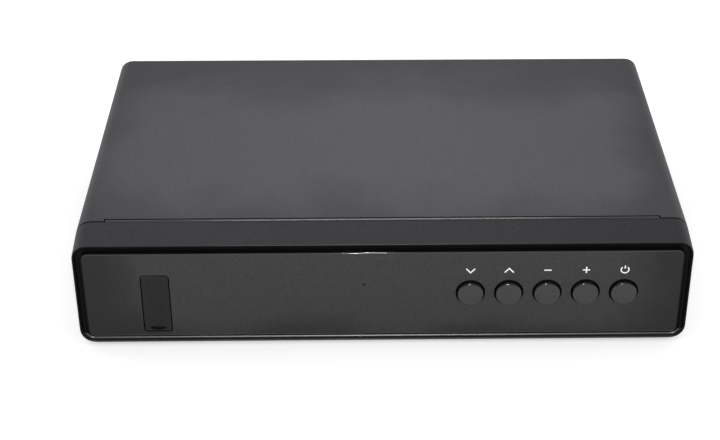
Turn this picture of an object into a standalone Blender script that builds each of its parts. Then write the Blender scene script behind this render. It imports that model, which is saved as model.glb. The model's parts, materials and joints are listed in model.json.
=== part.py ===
"""Compact satellite receiver: sheet steel housing, moulded front and the boards inside.

Metres, +Z up. The front looks along -Y and +X is its right side. The origin lies under
the middle of the whole receiver, sockets and buttons included, on the surface it stands on.
"""

import math

import bmesh
import bpy
from mathutils import Matrix, Vector

# Fits and helpers shared by all pieces
SEAT_GAP = 0.0003
OVERRUN = 0.001
ROOT = 0.0005
MERGE = 0.000001

# Whole receiver
BODY_WIDTH = 0.168
BODY_DEPTH = 0.110
BODY_HEIGHT = 0.032
CORNER_RADIUS = 0.0042
SHEET = 0.0008
SHEET_BEND = 0.0012
SEAM_GAP = 0.0004

# Feet
FOOT_HEIGHT = 0.0009
FOOT_RADIUS = 0.005
FOOT_EDGE = 0.0003
FOOT_INSET = 0.014
FOOT_FRONT_INSET = 0.007

# Front bezel
BEZEL_DEPTH = 0.0116
BEZEL_DRAFT = 0.0004
BEZEL_WALL = 0.002
RIM_WIDTH = 0.00055
RIM_FILLET = 0.0003
RIM_BREAK = 0.0001
GROOVE_DRAFT = 0.00015
FRONT_WALL = 0.0018
TONGUE_LENGTH = 0.004
SEAM_BREAK = 0.00015
LIP_DEPTH = 0.0011
LIP_RISE = 0.00012
LIP_EDGE = 0.0004
LIP_SIDE_MARGIN = 0.0082
RIB_THICKNESS = 0.001
RIB_DEPTH = 0.006
RIB_SHARES = (0.3, 0.5, 0.7)
HOOK_WIDTH = 0.008
HOOK_DEPTH = 0.0016
HOOK_PITCH = 0.052

# Front window plate
RING_WIDTH = 0.0024
PLATE_STANDOUT = 0.0003
PLATE_THICKNESS = 0.0015
PLATE_FILLET = 0.0003
PEG_RADIUS = 0.0011
PEG_INSET = 0.006
PEG_TAIL = 0.0006
LIGHT_HOLE_RADIUS = 0.0004
LIGHT_BUTTON_PITCH = 0.02885
LIGHT_RAISE = 0.0029

# Buttons, left to right, on one row at half the body's height
BUTTON_NAMES = ("channel_down", "channel_up", "volume_down", "volume_up", "power")
BUTTON_PITCH = 0.01045
BUTTON_SIDE_MARGIN = 0.0186
BUTTON_RADIUS = 0.00355
BUTTON_STANDOUT = 0.0015
BUTTON_FILLET = 0.00035
BUTTON_FLANGE_RADIUS = 0.0044
BUTTON_FLANGE = 0.0008
BUTTON_HOLE_CLEARANCE = 0.0005
BUTTON_GUIDE_CLEARANCE = 0.0003
PLUNGER_RADIUS = 0.0014
PLUNGER_LENGTH = 0.0008
BUTTON_TRAVEL = 0.0005

# Push switches
SWITCH_SIDE = 0.006
SWITCH_HEIGHT = 0.0035
STEM_RADIUS = 0.0017
STEM_STANDOUT = 0.0009
STEM_LENGTH = 0.0018
STEM_CLEARANCE = 0.0002

# Boards and their screws
BOARD_THICKNESS = 0.0016
BOARD_CORNER = 0.0015
KEY_BOARD_HEIGHT = 0.019
KEY_BOARD_LEFT = 0.007
KEY_BOARD_RIGHT = 0.0105
KEY_BOSS_RADIUS = 0.0024
SCREW_SHANK = 0.0012
SCREW_HEAD_RADIUS = 0.0025
SCREW_HEAD_HEIGHT = 0.0013
SCREW_HEAD_DOME = 0.0006
SCREW_LENGTH = 0.004
SCREW_CLEARANCE = 0.0003
BOARD_SIDE_GAP = 0.005
BOARD_FRONT_GAP = 0.0025
BOARD_REAR_GAP = 0.001
BOARD_HOLE_INSET = 0.006
BOARD_SCREW_FRONT = 0.016
STANDOFF_HEIGHT = 0.0035
STANDOFF_FOOT = 0.0052
STANDOFF_TOP = 0.0036

# Upright USB socket and its flap
USB_HEIGHT = 0.0131
USB_WIDTH = 0.0057
USB_DEPTH = 0.014
USB_SHELL = 0.0003
USB_MOUTH_DEPTH = 0.009
USB_TONGUE_THICKNESS = 0.0018
USB_TONGUE_SETBACK = 0.001
USB_TONGUE_END_GAP = 0.0007
USB_TONGUE_OFFSET = 0.0006
USB_SLOT_CLEARANCE = 0.0005
USB_BOARD_MARGIN = 0.0045
USB_BOARD_SETBACK = 0.003
FLAP_SIDE_MARGIN = 0.0221
FLAP_WIDTH = 0.0073
FLAP_HEIGHT = 0.018
FLAP_THICKNESS = 0.0015
FLAP_CORNER = 0.0006
FLAP_GAP = 0.0003
FLAP_PIN_RADIUS = 0.00035
FLAP_PIN_LENGTH = 0.0009
FLAP_PIN_CLEARANCE = 0.00015
NOTCH_WIDTH = 0.0047
NOTCH_HEIGHT = 0.0014
NOTCH_DEPTH = 0.0008
NOTCH_RAISE = 0.0003

# Light, receiver eye and the cable between the boards
LIGHT_RADIUS = 0.0015
LIGHT_FLANGE_RADIUS = 0.0019
LIGHT_FLANGE = 0.001
LIGHT_SPACER = 0.002
EYE_LIGHT_PITCH = 0.01275
EYE_WIDTH = 0.006
EYE_HEIGHT = 0.007
EYE_DEPTH = 0.004
EYE_LENS_RADIUS = 0.0022
PLUG_WIDTH = 0.013
PLUG_HEIGHT = 0.005
PLUG_DEPTH = 0.0042
PLUG_EDGE = 0.0004
PLUG_INSET = 0.0125
CABLE_WIDTH = 0.010
CABLE_THICKNESS = 0.0003
CABLE_REACH = 0.0095

# Chassis base
FLANGE_HEIGHT = 0.012
RELIEF = 0.002
TOP_FLANGE = 0.006
SLOT_WIDTH = 0.0022
SLOT_LENGTH = 0.014
SLOT_PITCH = 0.005
SLOT_COUNT = 8
SLOT_BANK_SPACE = 0.008
SIDE_SLOT_LENGTH = 0.009
SIDE_SLOT_COUNT = 11
SIDE_SLOT_PITCH = 0.0048
SIDE_SLOT_DROP = 0.007
COVER_SCREW_RAISE = 0.0072
COVER_SCREW_FRONT = 0.012
COVER_SCREW_REAR = 0.012
COVER_SCREW_LENGTH = 0.0032
CUTOUT_CLEARANCE = 0.0005

# Tuner can and its two dish sockets
TUNER_WIDTH = 0.040
TUNER_DEPTH = 0.027
TUNER_HEIGHT = 0.0135
TUNER_EDGE = 0.0004
TUNER_LID_OVERHANG = 0.0003
TUNER_LID_SKIRT = 0.0035
DISH_PITCH = 0.020
DISH_RADIUS = 0.00475
DISH_FLANGE_RADIUS = 0.006
DISH_FLANGE = 0.001
DISH_STANDOUT = 0.0105
DISH_CHAMFER = 0.0005
DISH_FACE_RADIUS = 0.0038
DISH_FACE_DEPTH = 0.0008
DISH_PIN_RADIUS = 0.0008
DISH_PIN_DEPTH = 0.006
DISH_RAISE = 0.007

# Screen socket
SCREEN_WIDTH = 0.015
SCREEN_HEIGHT = 0.0057
SCREEN_DEPTH = 0.0115
SCREEN_STANDOUT = 0.0006
SCREEN_SHELL = 0.0005
SCREEN_MOUTH_DEPTH = 0.007
SCREEN_TONGUE_WIDTH = 0.0122
SCREEN_TONGUE_HEIGHT = 0.0014
SCREEN_CHAMFER = 0.0018

# Round audio and video sockets
PHONO_PITCH = 0.014
PHONO_NAMES = ("audio_right", "audio_left", "video")
PHONO_BLOCK_DEPTH = 0.010
PHONO_BLOCK_HEIGHT = 0.0125
PHONO_BLOCK_MARGIN = 0.0055
PHONO_EDGE = 0.0004
PHONO_RAISE = 0.0068
PHONO_SLEEVE_RADIUS = 0.0042
PHONO_SLEEVE_WALL = 0.0004
PHONO_SLEEVE_FLANGE = 0.0011
PHONO_FLANGE_THICKNESS = 0.0008
PHONO_CORE_CLEARANCE = 0.0002
PHONO_STANDOUT = 0.009
PHONO_HOLE_RADIUS = 0.0017
PHONO_HOLE_DEPTH = 0.008

# Power inlet
INLET_WIDTH = 0.009
INLET_HEIGHT = 0.011
INLET_DEPTH = 0.0125
INLET_BARREL_RADIUS = 0.004
INLET_STANDOUT = 0.0006
INLET_HOLE_RADIUS = 0.0029
INLET_PIN_RADIUS = 0.00105
INLET_HOLE_DEPTH = 0.0095
INLET_PIN_SETBACK = 0.0008
INLET_RAISE = 0.0066

# Parts on the main board
CHIP_X = 0.004
CHIP_BACK = 0.052
CHIP_SIDE = 0.017
CHIP_HEIGHT = 0.0016
SINK_SIDE = 0.022
SINK_BASE = 0.0018
SINK_HEIGHT = 0.008
SINK_FINS = 7
SINK_FIN = 0.001
MEMORY_PITCH = 0.025
MEMORY_WIDTH = 0.009
MEMORY_LENGTH = 0.0135
MEMORY_HEIGHT = 0.0011
CAPACITOR_RADIUS = 0.004
CAPACITOR_HEIGHT = 0.0105
CAPACITOR_GROOVE = 0.0003
CAPACITOR_RING = 0.0016
CAPACITOR_INSET = 0.0131
CAPACITOR_FRONT = 0.030
CAPACITOR_PITCH = 0.0105
COIL_SIDE = 0.010
COIL_HEIGHT = 0.0045
COIL_EDGE = 0.0006
COIL_PITCH = 0.018
CRYSTAL_PITCH = 0.018
CRYSTAL_LENGTH = 0.0105
CRYSTAL_WIDTH = 0.0042
CRYSTAL_HEIGHT = 0.0035

# Facets
CORNER_STEPS = 6
SMALL_STEPS = 3
HOLE_STEPS = 28
TURN_STEPS = 20
FOOT_STEPS = 16
SCREW_STEPS = 10

# Worked out heights
BOTTOM_Z = FOOT_HEIGHT + SEAT_GAP
TOP_Z = BOTTOM_Z + BODY_HEIGHT
FLOOR_TOP_Z = BOTTOM_Z + SHEET
BUTTON_Z = (BOTTOM_Z + TOP_Z) / 2
STANDOFF_TOP_Z = FLOOR_TOP_Z + STANDOFF_HEIGHT
BOARD_LOW_Z = STANDOFF_TOP_Z + SEAT_GAP
BOARD_TOP_Z = BOARD_LOW_Z + BOARD_THICKNESS
ON_BOARD_Z = BOARD_TOP_Z + SEAT_GAP
USB_Z = ON_BOARD_Z + USB_HEIGHT / 2

# Worked out depths, front to rear
FRONT_Y = BUTTON_STANDOUT - (BUTTON_STANDOUT + BODY_DEPTH + DISH_STANDOUT) / 2
REAR_Y = FRONT_Y + BODY_DEPTH
PLATE_FACE_Y = FRONT_Y - PLATE_STANDOUT
PLATE_BACK_Y = PLATE_FACE_Y + PLATE_THICKNESS
WALL_FACE_Y = PLATE_BACK_Y + SEAT_GAP
WALL_BACK_Y = WALL_FACE_Y + FRONT_WALL
SEAM_Y = FRONT_Y + BEZEL_DEPTH
TONGUE_END_Y = SEAM_Y + TONGUE_LENGTH
BUTTON_FACE_Y = FRONT_Y - BUTTON_STANDOUT
BUTTON_FLANGE_Y = WALL_BACK_Y + SEAT_GAP
PLUNGER_END_Y = BUTTON_FLANGE_Y + BUTTON_FLANGE + PLUNGER_LENGTH
STEM_TIP_Y = PLUNGER_END_Y + SEAT_GAP
SWITCH_FACE_Y = STEM_TIP_Y + STEM_STANDOUT
KEY_BOARD_Y = SWITCH_FACE_Y + SWITCH_HEIGHT + SEAT_GAP
KEY_BOARD_BACK_Y = KEY_BOARD_Y + BOARD_THICKNESS
WALL_INNER_Y = REAR_Y - SHEET
BOARD_FRONT_Y = TONGUE_END_Y + BOARD_FRONT_GAP
BOARD_REAR_Y = WALL_INNER_Y - BOARD_REAR_GAP
USB_FACE_Y = PLATE_FACE_Y + max(FLAP_THICKNESS, PLATE_THICKNESS) + SEAT_GAP

# Worked out sides
HALF_WIDTH = BODY_WIDTH / 2
COVER_INNER_X = HALF_WIDTH - SHEET
CHASSIS_HALF = COVER_INNER_X - SEAT_GAP
LIP_HALF = HALF_WIDTH - LIP_SIDE_MARGIN
BOARD_HALF = CHASSIS_HALF - SHEET - BOARD_SIDE_GAP
FLAP_X = FLAP_SIDE_MARGIN - HALF_WIDTH
LIGHT_Z = BUTTON_Z + LIGHT_RAISE
LAST_BUTTON_X = HALF_WIDTH - BUTTON_SIDE_MARGIN
BUTTON_XS = [LAST_BUTTON_X - BUTTON_PITCH * back for back in reversed(range(len(BUTTON_NAMES)))]
LIGHT_X = BUTTON_XS[0] - LIGHT_BUTTON_PITCH
EYE_X = LIGHT_X + EYE_LIGHT_PITCH
KEY_BOARD_X = (LIGHT_X - KEY_BOARD_LEFT, LAST_BUTTON_X + KEY_BOARD_RIGHT)
PLUG_X = KEY_BOARD_X[0] + PLUG_INSET
KEY_BOARD_Z = (BUTTON_Z - KEY_BOARD_HEIGHT / 2, BUTTON_Z + KEY_BOARD_HEIGHT / 2)

# The rear sockets stand in one row with equal spaces between them
PHONO_WIDTHS = [PHONO_PITCH * (count - 1) + 2 * PHONO_BLOCK_MARGIN for count in (1, len(PHONO_NAMES))]
SOCKET_WIDTHS = (INLET_WIDTH, *PHONO_WIDTHS, SCREEN_WIDTH, TUNER_WIDTH)
SOCKET_SPACE = (2 * (CHASSIS_HALF - SHEET) - sum(SOCKET_WIDTHS)) / (len(SOCKET_WIDTHS) + 1)
SOCKET_STARTS = [SHEET - CHASSIS_HALF + sum(SOCKET_WIDTHS[:place]) + SOCKET_SPACE * (place + 1)
                 for place in range(len(SOCKET_WIDTHS))]
INLET_X, DIGITAL_X, PHONO_X, SCREEN_X, TUNER_X = [
    start + width / 2 for start, width in zip(SOCKET_STARTS, SOCKET_WIDTHS)]
CAPACITOR_X = CAPACITOR_INSET - BOARD_HALF
COIL_X = CAPACITOR_X + COIL_PITCH
MEMORY_X = CHIP_X + MEMORY_PITCH
CRYSTAL_X = MEMORY_X + CRYSTAL_PITCH

QUARTER = math.pi / 2
FACING = {"front": (QUARTER, 0, 0), "rear": (-QUARTER, 0, 0), "up": (0, 0, 0),
          "right": (0, QUARTER, 0), "left": (0, -QUARTER, 0)}
PLANES = {
    "X": Matrix(((0, 0, 1), (1, 0, 0), (0, 1, 0))),
    "Y": Matrix(((1, 0, 0), (0, 0, -1), (0, 1, 0))),
    "Z": Matrix(((1, 0, 0), (0, 1, 0), (0, 0, 1))),
}


def clear_scene():
    for thing in list(bpy.data.objects):
        bpy.data.objects.remove(thing, do_unlink=True)


def make_collection(name, parent):
    collection = bpy.data.collections.new(name)
    parent.children.link(collection)
    return collection


clear_scene()
RECEIVER = make_collection("satellite_receiver", bpy.context.scene.collection)
TOOLS = make_collection("receiver_cutters", bpy.context.scene.collection)


def finish(name, colour, roughness, metallic=0.0):
    """A plain Principled material."""
    material = bpy.data.materials.new(name)
    material.use_nodes = True
    shader = material.node_tree.nodes["Principled BSDF"]
    shader.inputs["Base Color"].default_value = (*colour, 1.0)
    shader.inputs["Roughness"].default_value = roughness
    shader.inputs["Metallic"].default_value = metallic
    return material


FINISHES = {
    "cover_paint": finish("cover_paint", (0.09, 0.092, 0.1), 0.55),
    "bezel_plastic": finish("bezel_plastic", (0.045, 0.046, 0.052), 0.5),
    "window_plastic": finish("window_plastic", (0.05, 0.05, 0.056), 0.25),
    "button_plastic": finish("button_plastic", (0.06, 0.06, 0.068), 0.45),
    "flap_plastic": finish("flap_plastic", (0.04, 0.042, 0.045), 0.4),
    "zinc_steel": finish("zinc_steel", (0.62, 0.63, 0.64), 0.35, 1.0),
    "tin_plate": finish("tin_plate", (0.72, 0.72, 0.7), 0.3, 1.0),
    "nickel": finish("nickel", (0.7, 0.68, 0.64), 0.25, 1.0),
    "screw_steel": finish("screw_steel", (0.12, 0.12, 0.125), 0.4, 1.0),
    "foot_rubber": finish("foot_rubber", (0.02, 0.02, 0.02), 0.8),
    "board_green": finish("board_green", (0.02, 0.12, 0.05), 0.4),
    "black_plastic": finish("black_plastic", (0.02, 0.02, 0.022), 0.5),
    "white_plastic": finish("white_plastic", (0.75, 0.74, 0.7), 0.5),
    "aluminium": finish("aluminium", (0.6, 0.6, 0.62), 0.4, 1.0),
    "light_epoxy": finish("light_epoxy", (0.6, 0.05, 0.03), 0.2),
    "cable_film": finish("cable_film", (0.8, 0.8, 0.78), 0.4),
    "capacitor_sleeve": finish("capacitor_sleeve", (0.03, 0.05, 0.12), 0.35),
}


def add_object(name, mesh, material=None):
    """A piece of the receiver, or a hidden helper when it has no material."""
    thing = bpy.data.objects.new(name, mesh)
    if material is None:
        TOOLS.objects.link(thing)
        thing.hide_render = True
        thing.display_type = "WIRE"
    else:
        RECEIVER.objects.link(thing)
        mesh.materials.append(FINISHES[material])
    return thing


def to_mesh(name, bm):
    bmesh.ops.recalc_face_normals(bm, faces=bm.faces)
    mesh = bpy.data.meshes.new(name)
    bm.to_mesh(mesh)
    bm.free()
    return mesh


def block(name, low, high, material=None, edge=0.0):
    """A box between two corners, its edges bevelled if edge is given."""
    bm = bmesh.new()
    bmesh.ops.create_cube(bm, size=1)
    size = Vector(high) - Vector(low)
    bmesh.ops.scale(bm, vec=size, verts=bm.verts)
    middle = (Vector(high) + Vector(low)) / 2
    bmesh.ops.translate(bm, vec=middle, verts=bm.verts)
    thing = add_object(name, to_mesh(name, bm), material)
    if edge:
        bevel = thing.modifiers.new("edges", "BEVEL")
        bevel.width = edge
        bevel.segments = 1
    return thing


def rod(name, axis, centre, radius, low, high, steps, material=None, end_radius=None):
    """A cylinder or cone along a world axis, from low to high; centre holds the other two places."""
    bm = bmesh.new()
    far_radius = radius if end_radius is None else end_radius
    bmesh.ops.create_cone(bm, cap_ends=True, segments=steps, radius1=radius, radius2=far_radius,
                          depth=high - low)
    middle = (low + high) / 2
    place = {"X": (middle, *centre), "Y": (centre[0], middle, centre[1]), "Z": (*centre, middle)}[axis]
    facing = {"X": "right", "Y": "rear", "Z": "up"}[axis]
    turn = Matrix.Translation(place) @ euler_matrix(FACING[facing])
    bmesh.ops.transform(bm, matrix=turn, verts=bm.verts)
    return add_object(name, to_mesh(name, bm), material)


def euler_matrix(angles):
    return (Matrix.Rotation(angles[2], 4, "Z") @ Matrix.Rotation(angles[1], 4, "Y")
            @ Matrix.Rotation(angles[0], 4, "X"))


def prism(name, loops, axis, low, high, material=None):
    """A flat outline, with any inner loops as holes, extruded along a world axis.

    The outline's two coordinates are Y and Z for axis X, X and Z for axis Y, X and Y for axis Z.
    """
    data = bpy.data.curves.new(name, "CURVE")
    data.dimensions = "2D"
    data.fill_mode = "BOTH"
    data.extrude = (high - low) / 2
    for loop in loops:
        spline = data.splines.new("POLY")
        spline.points.add(len(loop) - 1)
        for point, (u, v) in zip(spline.points, loop):
            point.co = (u, v, 0, 1)
        spline.use_cyclic_u = True
    guide = bpy.data.objects.new(name + "_outline", data)
    bpy.context.scene.collection.objects.link(guide)
    graph = bpy.context.evaluated_depsgraph_get()
    mesh = bpy.data.meshes.new_from_object(guide.evaluated_get(graph))
    bpy.data.objects.remove(guide)
    bpy.data.curves.remove(data)
    bm = bmesh.new()
    bm.from_mesh(mesh)
    bpy.data.meshes.remove(mesh)
    bmesh.ops.remove_doubles(bm, verts=bm.verts, dist=MERGE)
    middle = [(low + high) / 2 if letter == axis else 0 for letter in "XYZ"]
    bmesh.ops.transform(bm, matrix=Matrix.Translation(middle) @ PLANES[axis].to_4x4(), verts=bm.verts)
    return add_object(name, to_mesh(name, bm), material)


def turned(name, profile, centre, facing, material=None, steps=TURN_STEPS, closed=False):
    """A profile of radius and height points, run top to bottom, turned about its own Z and faced."""
    mesh = bpy.data.meshes.new(name)
    points = [(radius, 0, height) for radius, height in profile]
    edges = [(index, index + 1) for index in range(len(points) - 1)]
    if closed:
        edges.append((len(points) - 1, 0))
    mesh.from_pydata(points, edges, [])
    thing = add_object(name, mesh, material)
    thing.location = centre
    thing.rotation_euler = FACING[facing]
    screw = thing.modifiers.new("turn", "SCREW")
    screw.axis = "Z"
    screw.steps = steps
    screw.render_steps = steps
    screw.use_merge_vertices = True
    screw.merge_threshold = MERGE
    screw.use_smooth_shade = True
    return thing


def combine(thing, others, operation):
    """One Boolean of a piece with a collection of helpers."""
    if not others:
        return
    group = bpy.data.collections.new(thing.name + "_" + operation.lower())
    TOOLS.children.link(group)
    for other in others:
        TOOLS.objects.unlink(other)
        group.objects.link(other)
    boolean = thing.modifiers.new(operation.lower(), "BOOLEAN")
    boolean.operation = operation
    boolean.operand_type = "COLLECTION"
    boolean.collection = group
    boolean.solver = "EXACT"


def cut(thing, others):
    combine(thing, others, "DIFFERENCE")


def join(thing, others):
    combine(thing, others, "UNION")


def rounded_loop(low, high, radius, steps=CORNER_STEPS):
    """A rounded rectangle between two corners, as points running anticlockwise."""
    radius = min(radius, (high[0] - low[0]) / 2, (high[1] - low[1]) / 2)
    centres = ((high[0] - radius, low[1] + radius), (high[0] - radius, high[1] - radius),
               (low[0] + radius, high[1] - radius), (low[0] + radius, low[1] + radius))
    points = []
    for corner, (u, v) in enumerate(centres):
        for step in range(steps + 1):
            angle = QUARTER * (corner - 1 + step / steps)
            points.append((u + radius * math.cos(angle), v + radius * math.sin(angle)))
    return points


def loft(name, sections, material=None):
    """A closed skin through like loops in XZ, each at its own Y, the first and last capped."""
    bm = bmesh.new()
    rings = [[bm.verts.new((x, y, z)) for x, z in loop] for y, loop in sections]
    bm.faces.new(rings[0])
    bm.faces.new(rings[-1])
    for near, far in zip(rings, rings[1:]):
        for index in range(len(near)):
            after = (index + 1) % len(near)
            bm.faces.new((near[index], near[after], far[after], far[index]))
    return add_object(name, to_mesh(name, bm), material)


def front_loop(y, inset):
    """The bezel's outline at a depth, taken in by an inset: the mould's draft opens it rearwards."""
    share = min(max((y - FRONT_Y) / BEZEL_DEPTH, 0), 1)
    spread = BEZEL_DRAFT * share
    half = HALF_WIDTH - BEZEL_DRAFT + spread - inset
    low = (-half, BOTTOM_Z + inset)
    high = (half, TOP_Z - BEZEL_DRAFT + spread - inset)
    return rounded_loop(low, high, CORNER_RADIUS - inset)


def fillet_steps(size, steps):
    """Inset and depth of points round a quarter arc, from the face to the side."""
    angles = [QUARTER * step / steps for step in range(steps + 1)]
    return [(size - size * math.sin(angle), size - size * math.cos(angle)) for angle in angles]


def make_bezel():
    """Moulded front: a thin rim, a sunk groove, the wall behind the window and a tongue under the cover."""
    profile = [(WALL_FACE_Y, RIM_WIDTH + GROOVE_DRAFT), (FRONT_Y + RIM_BREAK, RIM_WIDTH),
               (FRONT_Y, RIM_WIDTH - RIM_BREAK)]
    profile += [(FRONT_Y + depth, inset) for inset, depth in fillet_steps(RIM_FILLET, SMALL_STEPS)]
    tongue = SHEET + SEAT_GAP
    profile += [(SEAM_Y - SEAM_BREAK, 0), (SEAM_Y, SEAM_BREAK), (SEAM_Y, tongue), (TONGUE_END_Y, tongue),
                (TONGUE_END_Y, tongue + (BEZEL_WALL - tongue) / 2), (TONGUE_END_Y - ROOT, BEZEL_WALL),
                (WALL_BACK_Y, BEZEL_WALL)]
    bezel = loft("front_bezel", [(y, front_loop(y, inset)) for y, inset in profile], "bezel_plastic")

    inner_low = BOTTOM_Z + BEZEL_WALL - ROOT
    inner_high = TOP_Z - BEZEL_DRAFT - BEZEL_WALL + ROOT
    lip = block("bezel_lip", (-LIP_HALF, SEAM_Y - ROOT, TOP_Z - SHEET - SEAT_GAP - ROOT),
                (LIP_HALF, SEAM_Y + LIP_DEPTH, TOP_Z + LIP_RISE))
    round_edges(lip, LIP_EDGE, SMALL_STEPS)
    added = [lip]
    span = KEY_BOARD_X[0] - FLAP_X
    for number, share in enumerate(RIB_SHARES):
        x = FLAP_X + span * share
        added.append(block("bezel_rib_%d" % number,
                           (x - RIB_THICKNESS / 2, WALL_BACK_Y - ROOT, inner_low),
                           (x + RIB_THICKNESS / 2, WALL_BACK_Y + RIB_DEPTH, inner_high)))
    for number, (x, z) in enumerate(key_screw_places()):
        added.append(rod("bezel_boss_%d" % number, "Y", (x, z), KEY_BOSS_RADIUS, WALL_BACK_Y - ROOT,
                         KEY_BOARD_Y - SEAT_GAP, TURN_STEPS // 2))
    hook_low = BOTTOM_Z + SEAT_GAP
    for number in range(-1, 2):
        x = HOOK_PITCH * number
        added.append(block("bezel_hook_%d" % (number + 1), (x - HOOK_WIDTH / 2, hook_y()[0], hook_low),
                           (x + HOOK_WIDTH / 2, hook_y()[1], FLOOR_TOP_Z + SEAT_GAP + ROOT)))
    join(bezel, added)

    taken = []
    for name, x in zip(BUTTON_NAMES, BUTTON_XS):
        taken.append(rod("bezel_guide_" + name, "Y", (x, BUTTON_Z),
                         BUTTON_RADIUS + BUTTON_GUIDE_CLEARANCE, WALL_FACE_Y - OVERRUN,
                         WALL_BACK_Y + OVERRUN, TURN_STEPS))
    half_width = USB_WIDTH / 2 + USB_SLOT_CLEARANCE
    half_height = USB_HEIGHT / 2 + USB_SLOT_CLEARANCE
    taken.append(block("bezel_usb_slot", (FLAP_X - half_width, WALL_FACE_Y - OVERRUN,
                                          USB_Z - half_height),
                       (FLAP_X + half_width, WALL_BACK_Y + OVERRUN, USB_Z + half_height)))
    taken.append(rod("bezel_light_hole", "Y", (LIGHT_X, LIGHT_Z), LIGHT_RADIUS, WALL_FACE_Y - OVERRUN,
                     WALL_BACK_Y + OVERRUN, SCREW_STEPS))
    taken.append(rod("bezel_eye_hole", "Y", (EYE_X, BUTTON_Z), EYE_LENS_RADIUS, WALL_FACE_Y - OVERRUN,
                     WALL_BACK_Y + OVERRUN, TURN_STEPS // 2))
    for number, (x, z) in enumerate(peg_places()):
        taken.append(rod("bezel_peg_hole_%d" % number, "Y", (x, z), PEG_RADIUS + SEAT_GAP,
                         WALL_FACE_Y - OVERRUN, WALL_BACK_Y + OVERRUN, SCREW_STEPS))
    for number, (x, z) in enumerate(key_screw_places()):
        taken.append(rod("bezel_boss_hole_%d" % number, "Y", (x, z), SCREW_SHANK + SEAT_GAP,
                         WALL_BACK_Y + ROOT, KEY_BOARD_Y + OVERRUN, SCREW_STEPS))
    cut(bezel, taken)
    return bezel


def round_edges(thing, width, steps):
    bevel = thing.modifiers.new("edges", "BEVEL")
    bevel.width = width
    bevel.segments = steps


def hook_y():
    """Front and back of the snap hooks under the tongue."""
    middle = (SEAM_Y + TONGUE_END_Y) / 2
    return middle - HOOK_DEPTH / 2, middle + HOOK_DEPTH / 2


def plate_loop(inset):
    half = HALF_WIDTH - BEZEL_DRAFT - RING_WIDTH - inset
    low = (-half, BOTTOM_Z + RING_WIDTH + inset)
    high = (half, TOP_Z - BEZEL_DRAFT - RING_WIDTH - inset)
    return rounded_loop(low, high, CORNER_RADIUS - RING_WIDTH - inset)


def peg_places():
    """The plate's fixing pegs, near its corners."""
    half = HALF_WIDTH - BEZEL_DRAFT - RING_WIDTH - PEG_INSET
    low = BOTTOM_Z + RING_WIDTH + PEG_INSET / 2
    high = TOP_Z - BEZEL_DRAFT - RING_WIDTH - PEG_INSET / 2
    return [(side * half, z) for side in (-1, 1) for z in (low, high)]


def flap_pivot():
    """Y and Z of the flap's hinge axis: the middle of its rounded upper edge."""
    return PLATE_FACE_Y + FLAP_THICKNESS / 2, USB_Z + FLAP_HEIGHT / 2 - FLAP_THICKNESS / 2


def make_window():
    """Smooth plate standing slightly proud in the bezel, with the flap's slot and the button holes."""
    profile = [(PLATE_BACK_Y, 0)]
    profile += [(PLATE_FACE_Y + depth, inset) for inset,
                depth in reversed(fillet_steps(PLATE_FILLET, SMALL_STEPS))]
    plate = loft("front_window", [(y, plate_loop(inset)) for y, inset in profile], "window_plastic")
    join(plate, [rod("window_peg_%d" % number, "Y", (x, z), PEG_RADIUS, PLATE_BACK_Y - ROOT,
                     WALL_BACK_Y + PEG_TAIL, SCREW_STEPS) for number, (x, z) in enumerate(peg_places())])
    taken = [rod("window_hole_" + name, "Y", (x, BUTTON_Z), BUTTON_RADIUS + BUTTON_HOLE_CLEARANCE,
                 PLATE_FACE_Y - OVERRUN, PLATE_BACK_Y + OVERRUN, HOLE_STEPS)
             for name, x in zip(BUTTON_NAMES, BUTTON_XS)]
    taken.append(rod("window_light_hole", "Y", (LIGHT_X, LIGHT_Z), LIGHT_HOLE_RADIUS,
                     PLATE_FACE_Y - OVERRUN, PLATE_BACK_Y + OVERRUN, SCREW_STEPS))
    half_width = FLAP_WIDTH / 2 + FLAP_GAP
    half_height = FLAP_HEIGHT / 2 + FLAP_GAP
    slot = rounded_loop((FLAP_X - half_width, USB_Z - half_height),
                        (FLAP_X + half_width, USB_Z + half_height), FLAP_CORNER + FLAP_GAP, SMALL_STEPS)
    taken.append(prism("window_slot", [slot], "Y", PLATE_FACE_Y - OVERRUN, PLATE_BACK_Y + OVERRUN))
    pivot_y, pivot_z = flap_pivot()
    reach = FLAP_PIN_RADIUS + FLAP_PIN_CLEARANCE
    pin_end = FLAP_WIDTH / 2 + FLAP_PIN_LENGTH + SEAT_GAP
    taken.append(block("window_pin_pocket", (FLAP_X - pin_end, pivot_y - reach, pivot_z - reach),
                       (FLAP_X + pin_end, PLATE_BACK_Y + OVERRUN, pivot_z + reach)))
    cut(plate, taken)
    return plate


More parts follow.
